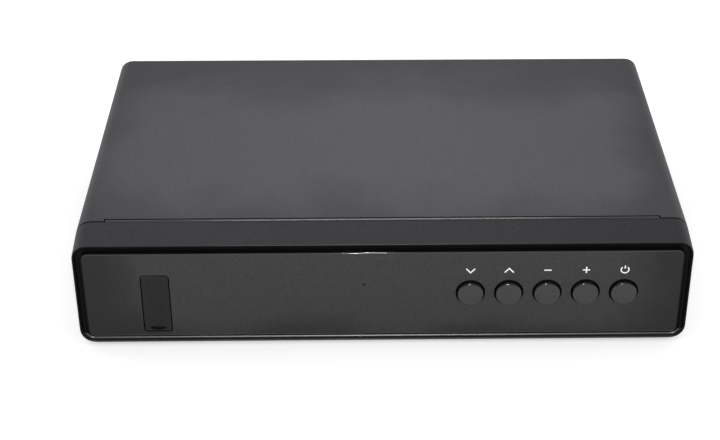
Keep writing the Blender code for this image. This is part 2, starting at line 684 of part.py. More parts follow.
def make_flap():
    """Door over the USB socket: rounded upper edge with two pins, and a lens-shaped finger notch."""
    half_width = FLAP_WIDTH / 2
    half_height = FLAP_HEIGHT / 2
    outline = rounded_loop((FLAP_X - half_width, USB_Z - half_height),
                           (FLAP_X + half_width, USB_Z + half_height), FLAP_CORNER, SMALL_STEPS)
    back_y = PLATE_FACE_Y + FLAP_THICKNESS
    flap = prism("usb_flap", [outline], "Y", PLATE_FACE_Y, back_y, "flap_plastic")
    pivot_y, pivot_z = flap_pivot()
    radius = FLAP_THICKNESS / 2
    side = [(back_y, pivot_z), (back_y, USB_Z - half_height - OVERRUN),
            (PLATE_FACE_Y, USB_Z - half_height - OVERRUN), (PLATE_FACE_Y, pivot_z)]
    top = [(pivot_y - radius * math.cos(math.pi * step / CORNER_STEPS),
            pivot_z + radius * math.sin(math.pi * step / CORNER_STEPS))
           for step in range(1, CORNER_STEPS)]
    shape = prism("flap_side_view", [side + top], "X", FLAP_X - half_width - OVERRUN,
                  FLAP_X + half_width + OVERRUN)
    combine(flap, [shape], "INTERSECT")
    join(flap, [rod("flap_pins", "X", (pivot_y, pivot_z), FLAP_PIN_RADIUS,
                    FLAP_X - half_width - FLAP_PIN_LENGTH, FLAP_X + half_width + FLAP_PIN_LENGTH,
                    SCREW_STEPS)])
    low = USB_Z - half_height + NOTCH_RAISE
    cut(flap, [prism("flap_notch", [lens_loop(FLAP_X, low, NOTCH_WIDTH, NOTCH_HEIGHT)], "Y",
                     PLATE_FACE_Y - OVERRUN, PLATE_FACE_Y + NOTCH_DEPTH)])
    set_origin(flap, (FLAP_X, pivot_y, pivot_z))
    return flap


def lens_loop(x, low, width, height):
    """Two equal arcs meeting in points at the left and right."""
    sagitta = height / 2
    radius = (width * width / 4 + sagitta * sagitta) / (2 * sagitta)
    spread = math.asin(width / 2 / radius)
    middle = low + sagitta
    angles = [spread * (2 * step / CORNER_STEPS - 1) for step in range(CORNER_STEPS)]
    lower = [(x + radius * math.sin(a), middle + radius - sagitta - radius * math.cos(a)) for a in angles]
    upper = [(x - radius * math.sin(a), middle - radius + sagitta + radius * math.cos(a)) for a in angles]
    return lower + upper


def set_origin(thing, place):
    """Moves an object's origin to a place while its shape stays."""
    thing.data.transform(Matrix.Translation(-Vector(place)))
    thing.location = place


def make_buttons():
    """Round caps held behind the bezel's wall by a flange, each with a plunger over its switch."""
    for name, x in zip(BUTTON_NAMES, BUTTON_XS):
        face = 0
        profile = [(0, face)]
        profile += [(BUTTON_RADIUS - inset, face - depth) for inset,
                    depth in fillet_steps(BUTTON_FILLET, SMALL_STEPS)]
        flange = BUTTON_FACE_Y - BUTTON_FLANGE_Y
        back = flange - BUTTON_FLANGE
        end = back - PLUNGER_LENGTH
        profile += [(BUTTON_RADIUS, flange), (BUTTON_FLANGE_RADIUS, flange), (BUTTON_FLANGE_RADIUS, back),
                    (PLUNGER_RADIUS, back), (PLUNGER_RADIUS, end), (0, end)]
        turned(name + "_button", profile, (x, BUTTON_FACE_Y, BUTTON_Z), "front", "button_plastic")


def make_switches():
    """A push switch behind each button: a square case with its stem in a bore."""
    back = SWITCH_FACE_Y + SWITCH_HEIGHT
    for name, x in zip(BUTTON_NAMES, BUTTON_XS):
        half = SWITCH_SIDE / 2
        case = block(name + "_switch", (x - half, SWITCH_FACE_Y, BUTTON_Z - half),
                     (x + half, back, BUTTON_Z + half), "black_plastic")
        bore_end = STEM_TIP_Y + STEM_LENGTH + BUTTON_TRAVEL + SEAT_GAP
        cut(case, [rod(name + "_switch_bore", "Y", (x, BUTTON_Z), STEM_RADIUS + STEM_CLEARANCE,
                       SWITCH_FACE_Y - OVERRUN, bore_end, SCREW_STEPS)])
        profile = [(0, 0), (STEM_RADIUS, 0), (STEM_RADIUS, -STEM_LENGTH), (0, -STEM_LENGTH)]
        turned(name + "_switch_stem", profile, (x, STEM_TIP_Y, BUTTON_Z), "front", "black_plastic",
               SCREW_STEPS)


def key_screw_places():
    """Key board screws: between the light and the first button, and past the last button."""
    left = (EYE_X + EYE_WIDTH / 2 + BUTTON_XS[0] - BUTTON_FLANGE_RADIUS) / 2
    right = KEY_BOARD_X[1] - KEY_BOSS_RADIUS
    return [(left, BUTTON_Z), (right, BUTTON_Z)]


def screw_profile(length):
    """Pan head and shank, head upwards, seated at height zero."""
    top = SCREW_HEAD_HEIGHT
    return [(0, top), (SCREW_HEAD_RADIUS - SCREW_HEAD_DOME, top),
            (SCREW_HEAD_RADIUS, top - SCREW_HEAD_DOME), (SCREW_HEAD_RADIUS, 0), (SCREW_SHANK, 0),
            (SCREW_SHANK, -length), (0, -length)]


def make_key_board():
    outline = rounded_loop((KEY_BOARD_X[0], KEY_BOARD_Z[0]), (KEY_BOARD_X[1], KEY_BOARD_Z[1]),
                           BOARD_CORNER, SMALL_STEPS)
    board = prism("key_board", [outline], "Y", KEY_BOARD_Y, KEY_BOARD_BACK_Y, "board_green")
    cut(board, [rod("key_board_hole_%d" % number, "Y", place, SCREW_SHANK + SEAT_GAP,
                    KEY_BOARD_Y - OVERRUN, KEY_BOARD_BACK_Y + OVERRUN, SCREW_STEPS) for number,
                place in enumerate(key_screw_places())])
    length = min(SCREW_LENGTH, KEY_BOARD_BACK_Y - WALL_BACK_Y - ROOT - SEAT_GAP)
    for number, (x, z) in enumerate(key_screw_places()):
        turned("key_board_screw_%d" % (number + 1), screw_profile(length),
               (x, KEY_BOARD_BACK_Y + SEAT_GAP, z), "rear", "screw_steel", SCREW_STEPS)


def make_light():
    """Standby light on a spacer, its dome behind the pin hole."""
    tip = WALL_BACK_Y + SEAT_GAP
    base = KEY_BOARD_Y - SEAT_GAP
    length = base - tip
    dome = [(LIGHT_RADIUS * math.sin(angle), LIGHT_RADIUS * (math.cos(angle) - 1))
            for angle in (QUARTER * step / SMALL_STEPS for step in range(SMALL_STEPS + 1))]
    flange = LIGHT_SPACER + LIGHT_FLANGE - length
    profile = dome + [(LIGHT_RADIUS, flange), (LIGHT_FLANGE_RADIUS, flange),
                      (LIGHT_FLANGE_RADIUS, -length), (0, -length)]
    turned("standby_light", profile, (LIGHT_X, tip, LIGHT_Z), "front", "light_epoxy", TURN_STEPS // 2)


def make_eye():
    """Infrared receiver: a small case with a lens, on the key board."""
    back = KEY_BOARD_Y - SEAT_GAP
    front = back - EYE_DEPTH
    eye = block("infrared_receiver", (EYE_X - EYE_WIDTH / 2, front, BUTTON_Z - EYE_HEIGHT / 2),
                (EYE_X + EYE_WIDTH / 2, back, BUTTON_Z + EYE_HEIGHT / 2), "black_plastic")
    rise = min(EYE_LENS_RADIUS, front - WALL_BACK_Y - SEAT_GAP)
    lens = [(EYE_LENS_RADIUS * math.sin(angle), rise * math.cos(angle))
            for angle in (QUARTER * step / SMALL_STEPS for step in range(SMALL_STEPS + 1))]
    profile = lens + [(EYE_LENS_RADIUS, -ROOT), (0, -ROOT)]
    join(eye, [turned("eye_lens", profile, (EYE_X, front, BUTTON_Z), "front", None, TURN_STEPS // 2)])


def make_cable():
    """Flat cable bent down from the key board's plug to the main board's plug."""
    half = PLUG_WIDTH / 2
    plug_z = BUTTON_Z
    start_y = KEY_BOARD_BACK_Y + SEAT_GAP + PLUG_DEPTH
    block("key_board_plug", (PLUG_X - half, KEY_BOARD_BACK_Y + SEAT_GAP, plug_z - PLUG_HEIGHT / 2),
          (PLUG_X + half, start_y, plug_z + PLUG_HEIGHT / 2), "white_plastic", PLUG_EDGE)
    lower_y = start_y + SEAT_GAP + CABLE_REACH
    lower_top = ON_BOARD_Z + PLUG_HEIGHT
    block("main_board_plug", (PLUG_X - half, lower_y - PLUG_DEPTH / 2, ON_BOARD_Z),
          (PLUG_X + half, lower_y + PLUG_DEPTH / 2, lower_top), "white_plastic", PLUG_EDGE)
    across = CABLE_REACH
    drop = plug_z - lower_top - SEAT_GAP
    outer, inner = [], []
    for step in range(CORNER_STEPS * 2 + 1):
        angle = QUARTER * step / (CORNER_STEPS * 2)
        y = start_y + SEAT_GAP + across * math.sin(angle)
        z = lower_top + SEAT_GAP + drop * math.cos(angle)
        normal = Vector((drop * math.sin(angle),
                         across * math.cos(angle))).normalized() * (CABLE_THICKNESS / 2)
        outer.append((y + normal.x, z + normal.y))
        inner.append((y - normal.x, z - normal.y))
    loop = outer + inner[::-1]
    prism("front_board_cable", [loop], "X", PLUG_X - CABLE_WIDTH / 2, PLUG_X + CABLE_WIDTH / 2,
          "cable_film")


def extrude(bm, edges, vector):
    """Draws edges of a sheet along a vector."""
    drawn = bmesh.ops.extrude_edge_only(bm, edges=edges)["geom"]
    bmesh.ops.translate(bm, vec=vector, verts=[item for item in drawn if isinstance(item,
                                                                                    bmesh.types.BMVert)])


def thicken(thing, offset):
    """Gives an open sheet its thickness, inwards for an offset of -1 and both ways for 0."""
    shell = thing.modifiers.new("sheet", "SOLIDIFY")
    shell.thickness = SHEET
    shell.offset = offset
    shell.use_even_offset = True


def cover_side_view():
    """Outer line of the cover in XZ: up the left side, over both bends and down the right."""
    radius = CORNER_RADIUS
    points = [(HALF_WIDTH, BOTTOM_Z)]
    for step in range(CORNER_STEPS + 1):
        angle = QUARTER * step / CORNER_STEPS
        points.append((HALF_WIDTH - radius + radius * math.cos(angle),
                       TOP_Z - radius + radius * math.sin(angle)))
    return points + [(-x, z) for x, z in reversed(points)]


def side_screw_places():
    """Y of the two cover screws on each side."""
    return SEAM_Y + COVER_SCREW_FRONT, REAR_Y - COVER_SCREW_REAR


def make_cover():
    """One bent sheet: top and both sides, notched back at the front edge where the bezel's lip lies."""
    front_y = SEAM_Y + SEAM_GAP
    bm = bmesh.new()
    line = [bm.verts.new((x, front_y, z)) for x, z in cover_side_view()]
    edges = [bm.edges.new(pair) for pair in zip(line, line[1:])]
    extrude(bm, edges, (0, REAR_Y - front_y, 0))
    cover = add_object("top_cover", to_mesh("top_cover", bm), "cover_paint")
    thicken(cover, -1)
    taken = [block("cover_notch", (-LIP_HALF - SEAM_GAP, front_y - OVERRUN, TOP_Z - SHEET - OVERRUN),
                   (LIP_HALF + SEAM_GAP, front_y + LIP_DEPTH, TOP_Z + OVERRUN))]
    slot_top = TOP_Z - SIDE_SLOT_DROP
    middle_y = (SEAM_Y + REAR_Y) / 2
    for number in range(SIDE_SLOT_COUNT):
        y = middle_y + SIDE_SLOT_PITCH * (number - (SIDE_SLOT_COUNT - 1) / 2)
        taken.append(block("cover_vent_%d" % number,
                           (-HALF_WIDTH - OVERRUN, y - SLOT_WIDTH / 2, slot_top - SIDE_SLOT_LENGTH),
                           (HALF_WIDTH + OVERRUN, y + SLOT_WIDTH / 2, slot_top)))
    for number, y in enumerate(side_screw_places()):
        taken.append(rod("cover_screw_hole_%d" % number, "X", (y, BOTTOM_Z + COVER_SCREW_RAISE),
                         SCREW_SHANK + SCREW_CLEARANCE, -HALF_WIDTH - OVERRUN, HALF_WIDTH + OVERRUN,
                         SCREW_STEPS))
    cut(cover, taken)
    for number, (side, y) in enumerate((side, y) for side in (-1, 1) for y in side_screw_places()):
        place = (side * (HALF_WIDTH + SEAT_GAP), y, BOTTOM_Z + COVER_SCREW_RAISE)
        turned("cover_screw_%d" % (number + 1), screw_profile(COVER_SCREW_LENGTH), place,
               "right" if side > 0 else "left", "screw_steel", SCREW_STEPS)


def board_screw_places():
    """The main board's four fixings."""
    half = BOARD_HALF - BOARD_HOLE_INSET
    return [(side * half, y) for side in (-1, 1)
            for y in (BOARD_FRONT_Y + BOARD_SCREW_FRONT, BOARD_REAR_Y - TUNER_DEPTH - BOARD_HOLE_INSET)]


def foot_places():
    """The feet, clear of the pressed standoffs."""
    half = CHASSIS_HALF - FOOT_INSET
    return [(side * half, y) for side in (-1, 1)
            for y in (TONGUE_END_Y + FOOT_FRONT_INSET, REAR_Y - FOOT_INSET)]


def make_chassis():
    """One bent sheet: floor, side flanges, rear wall and its top flange, with pressed standoffs."""
    middle = SHEET / 2
    half = CHASSIS_HALF - middle
    floor_z = BOTTOM_Z + middle
    top_z = TOP_Z - SHEET - SEAT_GAP - middle
    rear = REAR_Y - middle
    front = SEAM_Y + SEAM_GAP
    chassis = block("chassis_base", (-half, front, floor_z), (half, rear, top_z), "zinc_steel")
    bm = bmesh.new()
    bm.from_mesh(chassis.data)
    bmesh.ops.delete(bm, geom=[face for face in bm.faces if face.normal.z > 0.5 or face.normal.y < -0.5],
                     context="FACES")
    wall_top = [edge for edge in bm.edges if all(v.co.y > 0 and v.co.z > BUTTON_Z for v in edge.verts)]
    extrude(bm, wall_top, (0, -TOP_FLANGE, 0))
    bmesh.ops.recalc_face_normals(bm, faces=bm.faces)
    bm.to_mesh(chassis.data)
    bm.free()
    bends = chassis.modifiers.new("bends", "BEVEL")
    bends.width = SHEET_BEND
    bends.segments = SMALL_STEPS
    thicken(chassis, 0)

    pressed, hollows = [], []
    for number, (x, y) in enumerate(board_screw_places()):
        pressed.append(rod("standoff_%d" % number, "Z", (x, y), STANDOFF_FOOT, FLOOR_TOP_Z - SHEET / 2,
                           STANDOFF_TOP_Z, TURN_STEPS // 2, None, STANDOFF_TOP))
        hollows.append(rod("standoff_hollow_%d" % number, "Z", (x, y), STANDOFF_FOOT - SHEET,
                           BOTTOM_Z - OVERRUN, STANDOFF_TOP_Z - SHEET, TURN_STEPS // 2, None,
                           STANDOFF_TOP - SHEET))
        hollows.append(rod("standoff_bore_%d" % number, "Z", (x, y), SCREW_SHANK + SCREW_CLEARANCE,
                           BOTTOM_Z, STANDOFF_TOP_Z + OVERRUN, SCREW_STEPS))
    join(chassis, pressed)
    cut(chassis, hollows + chassis_reliefs() + chassis_cuts())


def chassis_reliefs():
    """What is cut from the folded sheet: sides above their flanges, rear corners, the strip's ends."""
    outer = CHASSIS_HALF + OVERRUN
    relief_y = REAR_Y - SHEET - RELIEF
    relief_x = CHASSIS_HALF - SHEET - RELIEF
    top = TOP_Z - SHEET
    taken = []
    for side in (-1, 1):
        spans = {"side": ((relief_x, TONGUE_END_Y - OVERRUN, BOTTOM_Z + FLANGE_HEIGHT),
                          (outer, relief_y, top)),
                 "corner": ((relief_x, relief_y - ROOT, BOTTOM_Z - OVERRUN),
                            (outer, REAR_Y - SHEET, top)),
                 "sill": ((relief_x, relief_y, BOTTOM_Z - OVERRUN),
                          (outer, REAR_Y + OVERRUN, FLOOR_TOP_Z + RELIEF)),
                 "shoulder": ((relief_x, relief_y, top - SHEET - RELIEF), (outer, REAR_Y + OVERRUN, top)),
                 "flange": ((relief_x, relief_y - TOP_FLANGE, top - SHEET - RELIEF),
                            (outer, REAR_Y, top)),
                 "strip": ((relief_x, SEAM_Y - OVERRUN, BOTTOM_Z - OVERRUN),
                           (outer, TONGUE_END_Y + SEAT_GAP, top)),}
        for name, (low, high) in spans.items():
            xs = sorted((side * low[0], side * high[0]))
            taken.append(block("relief_%s_%d" % (name, side + 1), (xs[0], *low[1:]), (xs[1], *high[1:])))
    return taken


def chassis_cuts():
    """Vents and hook slots in the floor, screw holes in the flanges and cut-outs in the rear wall."""
    taken = []
    through = (BOTTOM_Z - OVERRUN, FLOOR_TOP_Z + OVERRUN)
    middle_y = (TONGUE_END_Y + REAR_Y) / 2
    bank_half = (SLOT_BANK_SPACE + SLOT_PITCH * (SLOT_COUNT - 1)) / 2
    for bank in (-1, 1):
        for number in range(SLOT_COUNT):
            x = bank * bank_half + SLOT_PITCH * (number - (SLOT_COUNT - 1) / 2)
            taken.append(block("floor_vent_%d_%d" % (bank + 1, number),
                               (x - SLOT_WIDTH / 2, middle_y - SLOT_LENGTH / 2, through[0]),
                               (x + SLOT_WIDTH / 2, middle_y + SLOT_LENGTH / 2, through[1])))
    for number in range(-1, 2):
        x = HOOK_PITCH * number
        front, back = hook_y()
        taken.append(block("hook_slot_%d" % (number + 1),
                           (x - HOOK_WIDTH / 2 - SEAT_GAP, front - SEAT_GAP, through[0]),
                           (x + HOOK_WIDTH / 2 + SEAT_GAP, back + SEAT_GAP, through[1])))
    for number, y in enumerate(side_screw_places()):
        taken.append(rod("flange_screw_hole_%d" % number, "X", (y, BOTTOM_Z + COVER_SCREW_RAISE),
                         SCREW_SHANK + SCREW_CLEARANCE, -CHASSIS_HALF - OVERRUN, CHASSIS_HALF + OVERRUN,
                         SCREW_STEPS))
    low, high = WALL_INNER_Y - OVERRUN, REAR_Y + OVERRUN
    for side in (-1, 1):
        place = (TUNER_X + side * DISH_PITCH / 2, ON_BOARD_Z + DISH_RAISE)
        taken.append(rod("dish_cutout_%d" % (side + 1), "Y", place, DISH_RADIUS + CUTOUT_CLEARANCE, low,
                         high, TURN_STEPS))
    for number, x in enumerate(phono_xs() + [DIGITAL_X]):
        taken.append(rod("phono_cutout_%d" % number, "Y", (x, ON_BOARD_Z + PHONO_RAISE),
                         PHONO_SLEEVE_RADIUS + CUTOUT_CLEARANCE, low, high, TURN_STEPS))
    taken.append(rod("inlet_cutout", "Y", (INLET_X, ON_BOARD_Z + INLET_RAISE),
                     INLET_BARREL_RADIUS + CUTOUT_CLEARANCE, low, high, TURN_STEPS))
    half = SCREEN_WIDTH / 2 + CUTOUT_CLEARANCE
    taken.append(block("screen_cutout", (SCREEN_X - half, low, ON_BOARD_Z - CUTOUT_CLEARANCE),
                       (SCREEN_X + half, high, ON_BOARD_Z + SCREEN_HEIGHT + CUTOUT_CLEARANCE)))
    return taken


def make_feet():
    for number, (x, y) in enumerate(foot_places()):
        profile = [(0, FOOT_HEIGHT), (FOOT_RADIUS, FOOT_HEIGHT), (FOOT_RADIUS, FOOT_EDGE),
                   (FOOT_RADIUS - FOOT_EDGE, 0), (0, 0)]
        turned("foot_%d" % (number + 1), profile, (x, y, 0), "up", "foot_rubber", FOOT_STEPS)


def make_main_board():
    """Main board with a tongue at its left front that carries the USB socket."""
    tongue = USB_WIDTH / 2 + USB_BOARD_MARGIN
    tongue_y = USB_FACE_Y + USB_BOARD_SETBACK
    loop = [(-BOARD_HALF, BOARD_FRONT_Y), (FLAP_X - tongue, BOARD_FRONT_Y), (FLAP_X - tongue, tongue_y),
            (FLAP_X + tongue, tongue_y), (FLAP_X + tongue, BOARD_FRONT_Y), (BOARD_HALF, BOARD_FRONT_Y),
            (BOARD_HALF, BOARD_REAR_Y), (-BOARD_HALF, BOARD_REAR_Y)]
    board = prism("main_board", [loop], "Z", BOARD_LOW_Z, BOARD_TOP_Z, "board_green")
    cut(board, [rod("main_board_hole_%d" % number, "Z", place, SCREW_SHANK + SCREW_CLEARANCE,
                    BOARD_LOW_Z - OVERRUN, BOARD_TOP_Z + OVERRUN, SCREW_STEPS) for number,
                place in enumerate(board_screw_places())])
    length = min(SCREW_LENGTH, BOARD_TOP_Z - FLOOR_TOP_Z)
    for number, (x, y) in enumerate(board_screw_places()):
        turned("main_board_screw_%d" % (number + 1), screw_profile(length), (x, y, ON_BOARD_Z), "up",
               "screw_steel", SCREW_STEPS)


def make_usb_socket():
    """Upright socket on the board's tongue: a thin shell round an off-centre contact tongue."""
    half_width = USB_WIDTH / 2
    half_height = USB_HEIGHT / 2
    socket = block("usb_socket", (FLAP_X - half_width, USB_FACE_Y, USB_Z - half_height),
                   (FLAP_X + half_width, USB_FACE_Y + USB_DEPTH, USB_Z + half_height), "tin_plate")
    inner_width = half_width - USB_SHELL
    inner_height = half_height - USB_SHELL
    cut(socket, [block("usb_mouth", (FLAP_X - inner_width, USB_FACE_Y - OVERRUN, USB_Z - inner_height),
                       (FLAP_X + inner_width, USB_FACE_Y + USB_MOUTH_DEPTH, USB_Z + inner_height))])
    tongue_x = FLAP_X + USB_TONGUE_OFFSET
    half = USB_TONGUE_THICKNESS / 2
    end = inner_height - USB_TONGUE_END_GAP
    join(socket, [block("usb_tongue", (tongue_x - half, USB_FACE_Y + USB_TONGUE_SETBACK, USB_Z - end),
                        (tongue_x + half, USB_FACE_Y + USB_MOUTH_DEPTH + ROOT, USB_Z + end))])


def make_tuner():
    """Screened tuner can and the two threaded dish sockets on its rear face."""
    rear = WALL_INNER_Y - SEAT_GAP - DISH_FLANGE - SEAT_GAP
    half = TUNER_WIDTH / 2
    front = rear - TUNER_DEPTH
    top_z = ON_BOARD_Z + TUNER_HEIGHT
    can = block("tuner_can", (TUNER_X - half, front, ON_BOARD_Z),
                (TUNER_X + half, rear - TUNER_LID_OVERHANG, top_z), "tin_plate")
    lid_half = half + TUNER_LID_OVERHANG
    join(can, [block("tuner_lid", (TUNER_X - lid_half, front - TUNER_LID_OVERHANG,
                                   top_z - TUNER_LID_SKIRT),
                     (TUNER_X + lid_half, rear, top_z + TUNER_LID_OVERHANG), None, TUNER_EDGE)])
    top = REAR_Y + DISH_STANDOUT
    base = rear + SEAT_GAP
    flange = base + DISH_FLANGE - top
    profile = [(0, -DISH_PIN_DEPTH), (DISH_PIN_RADIUS, -DISH_PIN_DEPTH),
               (DISH_PIN_RADIUS, -DISH_FACE_DEPTH), (DISH_FACE_RADIUS, -DISH_FACE_DEPTH),
               (DISH_FACE_RADIUS, 0), (DISH_RADIUS - DISH_CHAMFER, 0), (DISH_RADIUS, -DISH_CHAMFER),
               (DISH_RADIUS, flange), (DISH_FLANGE_RADIUS, flange), (DISH_FLANGE_RADIUS, base - top),
               (0, base - top)]
    for name, side in (("loop_output_socket", -1), ("dish_input_socket", 1)):
        place = (TUNER_X + side * DISH_PITCH / 2, top, ON_BOARD_Z + DISH_RAISE)
        turned(name, profile, place, "rear", "nickel")


def screen_loop(taken_in):
    """The screen socket's section: a rectangle with its lower corners cut."""
    half = SCREEN_WIDTH / 2 - taken_in
    low = ON_BOARD_Z + taken_in
    high = ON_BOARD_Z + SCREEN_HEIGHT - taken_in
    cutback = SCREEN_CHAMFER
    return [(SCREEN_X - half + cutback, low), (SCREEN_X + half - cutback, low),
            (SCREEN_X + half, low + cutback), (SCREEN_X + half, high), (SCREEN_X - half, high),
            (SCREEN_X - half, low + cutback)]


def make_screen_socket():
    """High definition video socket: a shell with cut lower corners and a flat contact tongue."""
    face = REAR_Y + SCREEN_STANDOUT
    socket = prism("hdmi_socket", [screen_loop(0)], "Y", face - SCREEN_DEPTH, face, "tin_plate")
    cut(socket, [prism("screen_mouth", [screen_loop(SCREEN_SHELL)], "Y", face - SCREEN_MOUTH_DEPTH,
                       face + OVERRUN)])
    half = SCREEN_TONGUE_WIDTH / 2
    middle = ON_BOARD_Z + SCREEN_HEIGHT / 2
    join(socket, [block("screen_tongue", (SCREEN_X - half, face - SCREEN_MOUTH_DEPTH - ROOT, middle),
                        (SCREEN_X + half, face - SCREEN_TONGUE_HEIGHT, middle + SCREEN_TONGUE_HEIGHT))])


def phono_xs():
    return [PHONO_X + PHONO_PITCH * (number - 1) for number in range(len(PHONO_NAMES))]


def phono_block(name, xs):
    """Moulded block behind the rear wall with a round core for each socket."""
    face = WALL_INNER_Y - SEAT_GAP - PHONO_FLANGE_THICKNESS - SEAT_GAP
    z = ON_BOARD_Z + PHONO_RAISE
    core = PHONO_SLEEVE_RADIUS - PHONO_SLEEVE_WALL - PHONO_CORE_CLEARANCE
    end = REAR_Y + PHONO_STANDOUT
    body = block(name, (xs[0] - PHONO_BLOCK_MARGIN, face - PHONO_BLOCK_DEPTH, ON_BOARD_Z),
                 (xs[-1] + PHONO_BLOCK_MARGIN, face, ON_BOARD_Z + PHONO_BLOCK_HEIGHT), "black_plastic",
                 PHONO_EDGE)
    join(body, [rod("%s_core_%d" % (name, number), "Y", (x, z), core, face - ROOT, end, TURN_STEPS)
                for number, x in enumerate(xs)])
    cut(body, [rod("%s_hole_%d" % (name, number), "Y", (x, z), PHONO_HOLE_RADIUS, end - PHONO_HOLE_DEPTH,
                   end + OVERRUN, SCREW_STEPS) for number, x in enumerate(xs)])


def phono_sleeve(name, x):
    """Metal sleeve round a core, with a flange between the block and the rear wall."""
    base = WALL_INNER_Y - SEAT_GAP - PHONO_FLANGE_THICKNESS
    end = REAR_Y + PHONO_STANDOUT
    outer = PHONO_SLEEVE_RADIUS
    inner = outer - PHONO_SLEEVE_WALL
    flange = outer + PHONO_SLEEVE_FLANGE
    profile = [(inner, 0), (outer, 0), (outer, base + PHONO_FLANGE_THICKNESS - end),
               (flange, base + PHONO_FLANGE_THICKNESS - end), (flange, base - end), (inner, base - end)]
    turned(name, profile, (x, end, ON_BOARD_Z + PHONO_RAISE), "rear", "nickel", TURN_STEPS, True)


def make_phono_sockets():
    phono_block("av_socket_block", phono_xs())
    for name, x in zip(PHONO_NAMES, phono_xs()):
        phono_sleeve(name + "_sleeve", x)
    phono_block("digital_audio_block", [DIGITAL_X])
    phono_sleeve("digital_audio_sleeve", DIGITAL_X)


def make_inlet():
    """DC inlet: a block with a round barrel through the rear wall and a centre pin."""
    face = WALL_INNER_Y - SEAT_GAP
    end = REAR_Y + INLET_STANDOUT
    z = ON_BOARD_Z + INLET_RAISE
    half = INLET_WIDTH / 2
    inlet = block("dc_inlet", (INLET_X - half, face - INLET_DEPTH, ON_BOARD_Z),
                  (INLET_X + half, face, ON_BOARD_Z + INLET_HEIGHT), "black_plastic")
    join(inlet, [rod("inlet_barrel", "Y", (INLET_X, z), INLET_BARREL_RADIUS, face - ROOT, end,
                     TURN_STEPS)])
    cut(inlet, [rod("inlet_hole", "Y", (INLET_X, z), INLET_HOLE_RADIUS, end - INLET_HOLE_DEPTH,
                    end + OVERRUN, TURN_STEPS // 2)])
    join(inlet, [rod("inlet_pin", "Y", (INLET_X, z), INLET_PIN_RADIUS, end - INLET_HOLE_DEPTH - ROOT,
                     end - INLET_PIN_SETBACK, SCREW_STEPS)])


def on_board_box(name, x, y, width, length, height, material, edge):
    block(name, (x - width / 2, y - length / 2, ON_BOARD_Z),
          (x + width / 2, y + length / 2, ON_BOARD_Z + height), material, edge)


def make_board_parts():
    """Chip and heat sink, memory, filter capacitors, coil and crystal."""
    chip_y = REAR_Y - CHIP_BACK
    on_board_box("main_chip", CHIP_X, chip_y, CHIP_SIDE, CHIP_SIDE, CHIP_HEIGHT, "black_plastic", 0)
    low = ON_BOARD_Z + CHIP_HEIGHT + SEAT_GAP
    half = SINK_SIDE / 2
    pitch = (SINK_SIDE - SINK_FIN) / (SINK_FINS - 1)
    comb = [(CHIP_X - half, low), (CHIP_X + half, low)]
    for number in reversed(range(SINK_FINS)):
        left = CHIP_X - half + pitch * number
        comb += [(left + SINK_FIN, low + SINK_HEIGHT), (left, low + SINK_HEIGHT)]
        if number:
            comb += [(left, low + SINK_BASE), (left - pitch + SINK_FIN, low + SINK_BASE)]
    prism("heat_sink", [comb], "Y", chip_y - half, chip_y + half, "aluminium")
    on_board_box("memory_chip", MEMORY_X, chip_y, MEMORY_WIDTH, MEMORY_LENGTH, MEMORY_HEIGHT,
                 "black_plastic", 0)
    radius, groove = CAPACITOR_RADIUS, CAPACITOR_GROOVE
    profile = [(0, CAPACITOR_HEIGHT), (radius - groove, CAPACITOR_HEIGHT),
               (radius, CAPACITOR_HEIGHT - groove), (radius, CAPACITOR_RING + groove),
               (radius - groove, CAPACITOR_RING), (radius, CAPACITOR_RING - groove), (radius, 0), (0, 0)]
    for number in range(2):
        place = (CAPACITOR_X, BOARD_REAR_Y - CAPACITOR_FRONT - CAPACITOR_PITCH * number, ON_BOARD_Z)
        turned("filter_capacitor_%d" % (number + 1), profile, place, "up", "capacitor_sleeve",
               TURN_STEPS // 2)
    coil_y = BOARD_REAR_Y - CAPACITOR_FRONT
    on_board_box("power_inductor", COIL_X, coil_y, COIL_SIDE, COIL_SIDE, COIL_HEIGHT, "black_plastic",
                 COIL_EDGE)
    crystal_y = chip_y
    loop = rounded_loop((CRYSTAL_X - CRYSTAL_LENGTH / 2, crystal_y - CRYSTAL_WIDTH / 2),
                        (CRYSTAL_X + CRYSTAL_LENGTH / 2, crystal_y + CRYSTAL_WIDTH / 2),
                        CRYSTAL_WIDTH / 2, SMALL_STEPS)
    prism("crystal", [loop], "Z", ON_BOARD_Z, ON_BOARD_Z + CRYSTAL_HEIGHT, "tin_plate")


make_bezel()
make_window()
make_flap()
make_buttons()
make_switches()
make_key_board()
make_light()
make_eye()
make_cable()
make_cover()
make_chassis()
make_feet()
make_main_board()
make_usb_socket()
make_tuner()
make_screen_socket()
make_phono_sockets()
make_inlet()
make_board_parts()
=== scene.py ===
"""Finished surfaces, stage and camera for a compact satellite receiver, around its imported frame.

Metres, +Z up, the front looks along -Y. Each operator dresses one piece or one group of like
pieces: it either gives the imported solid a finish, or builds a finer surface in its place.
"""

import json
import math
from collections import namedtuple

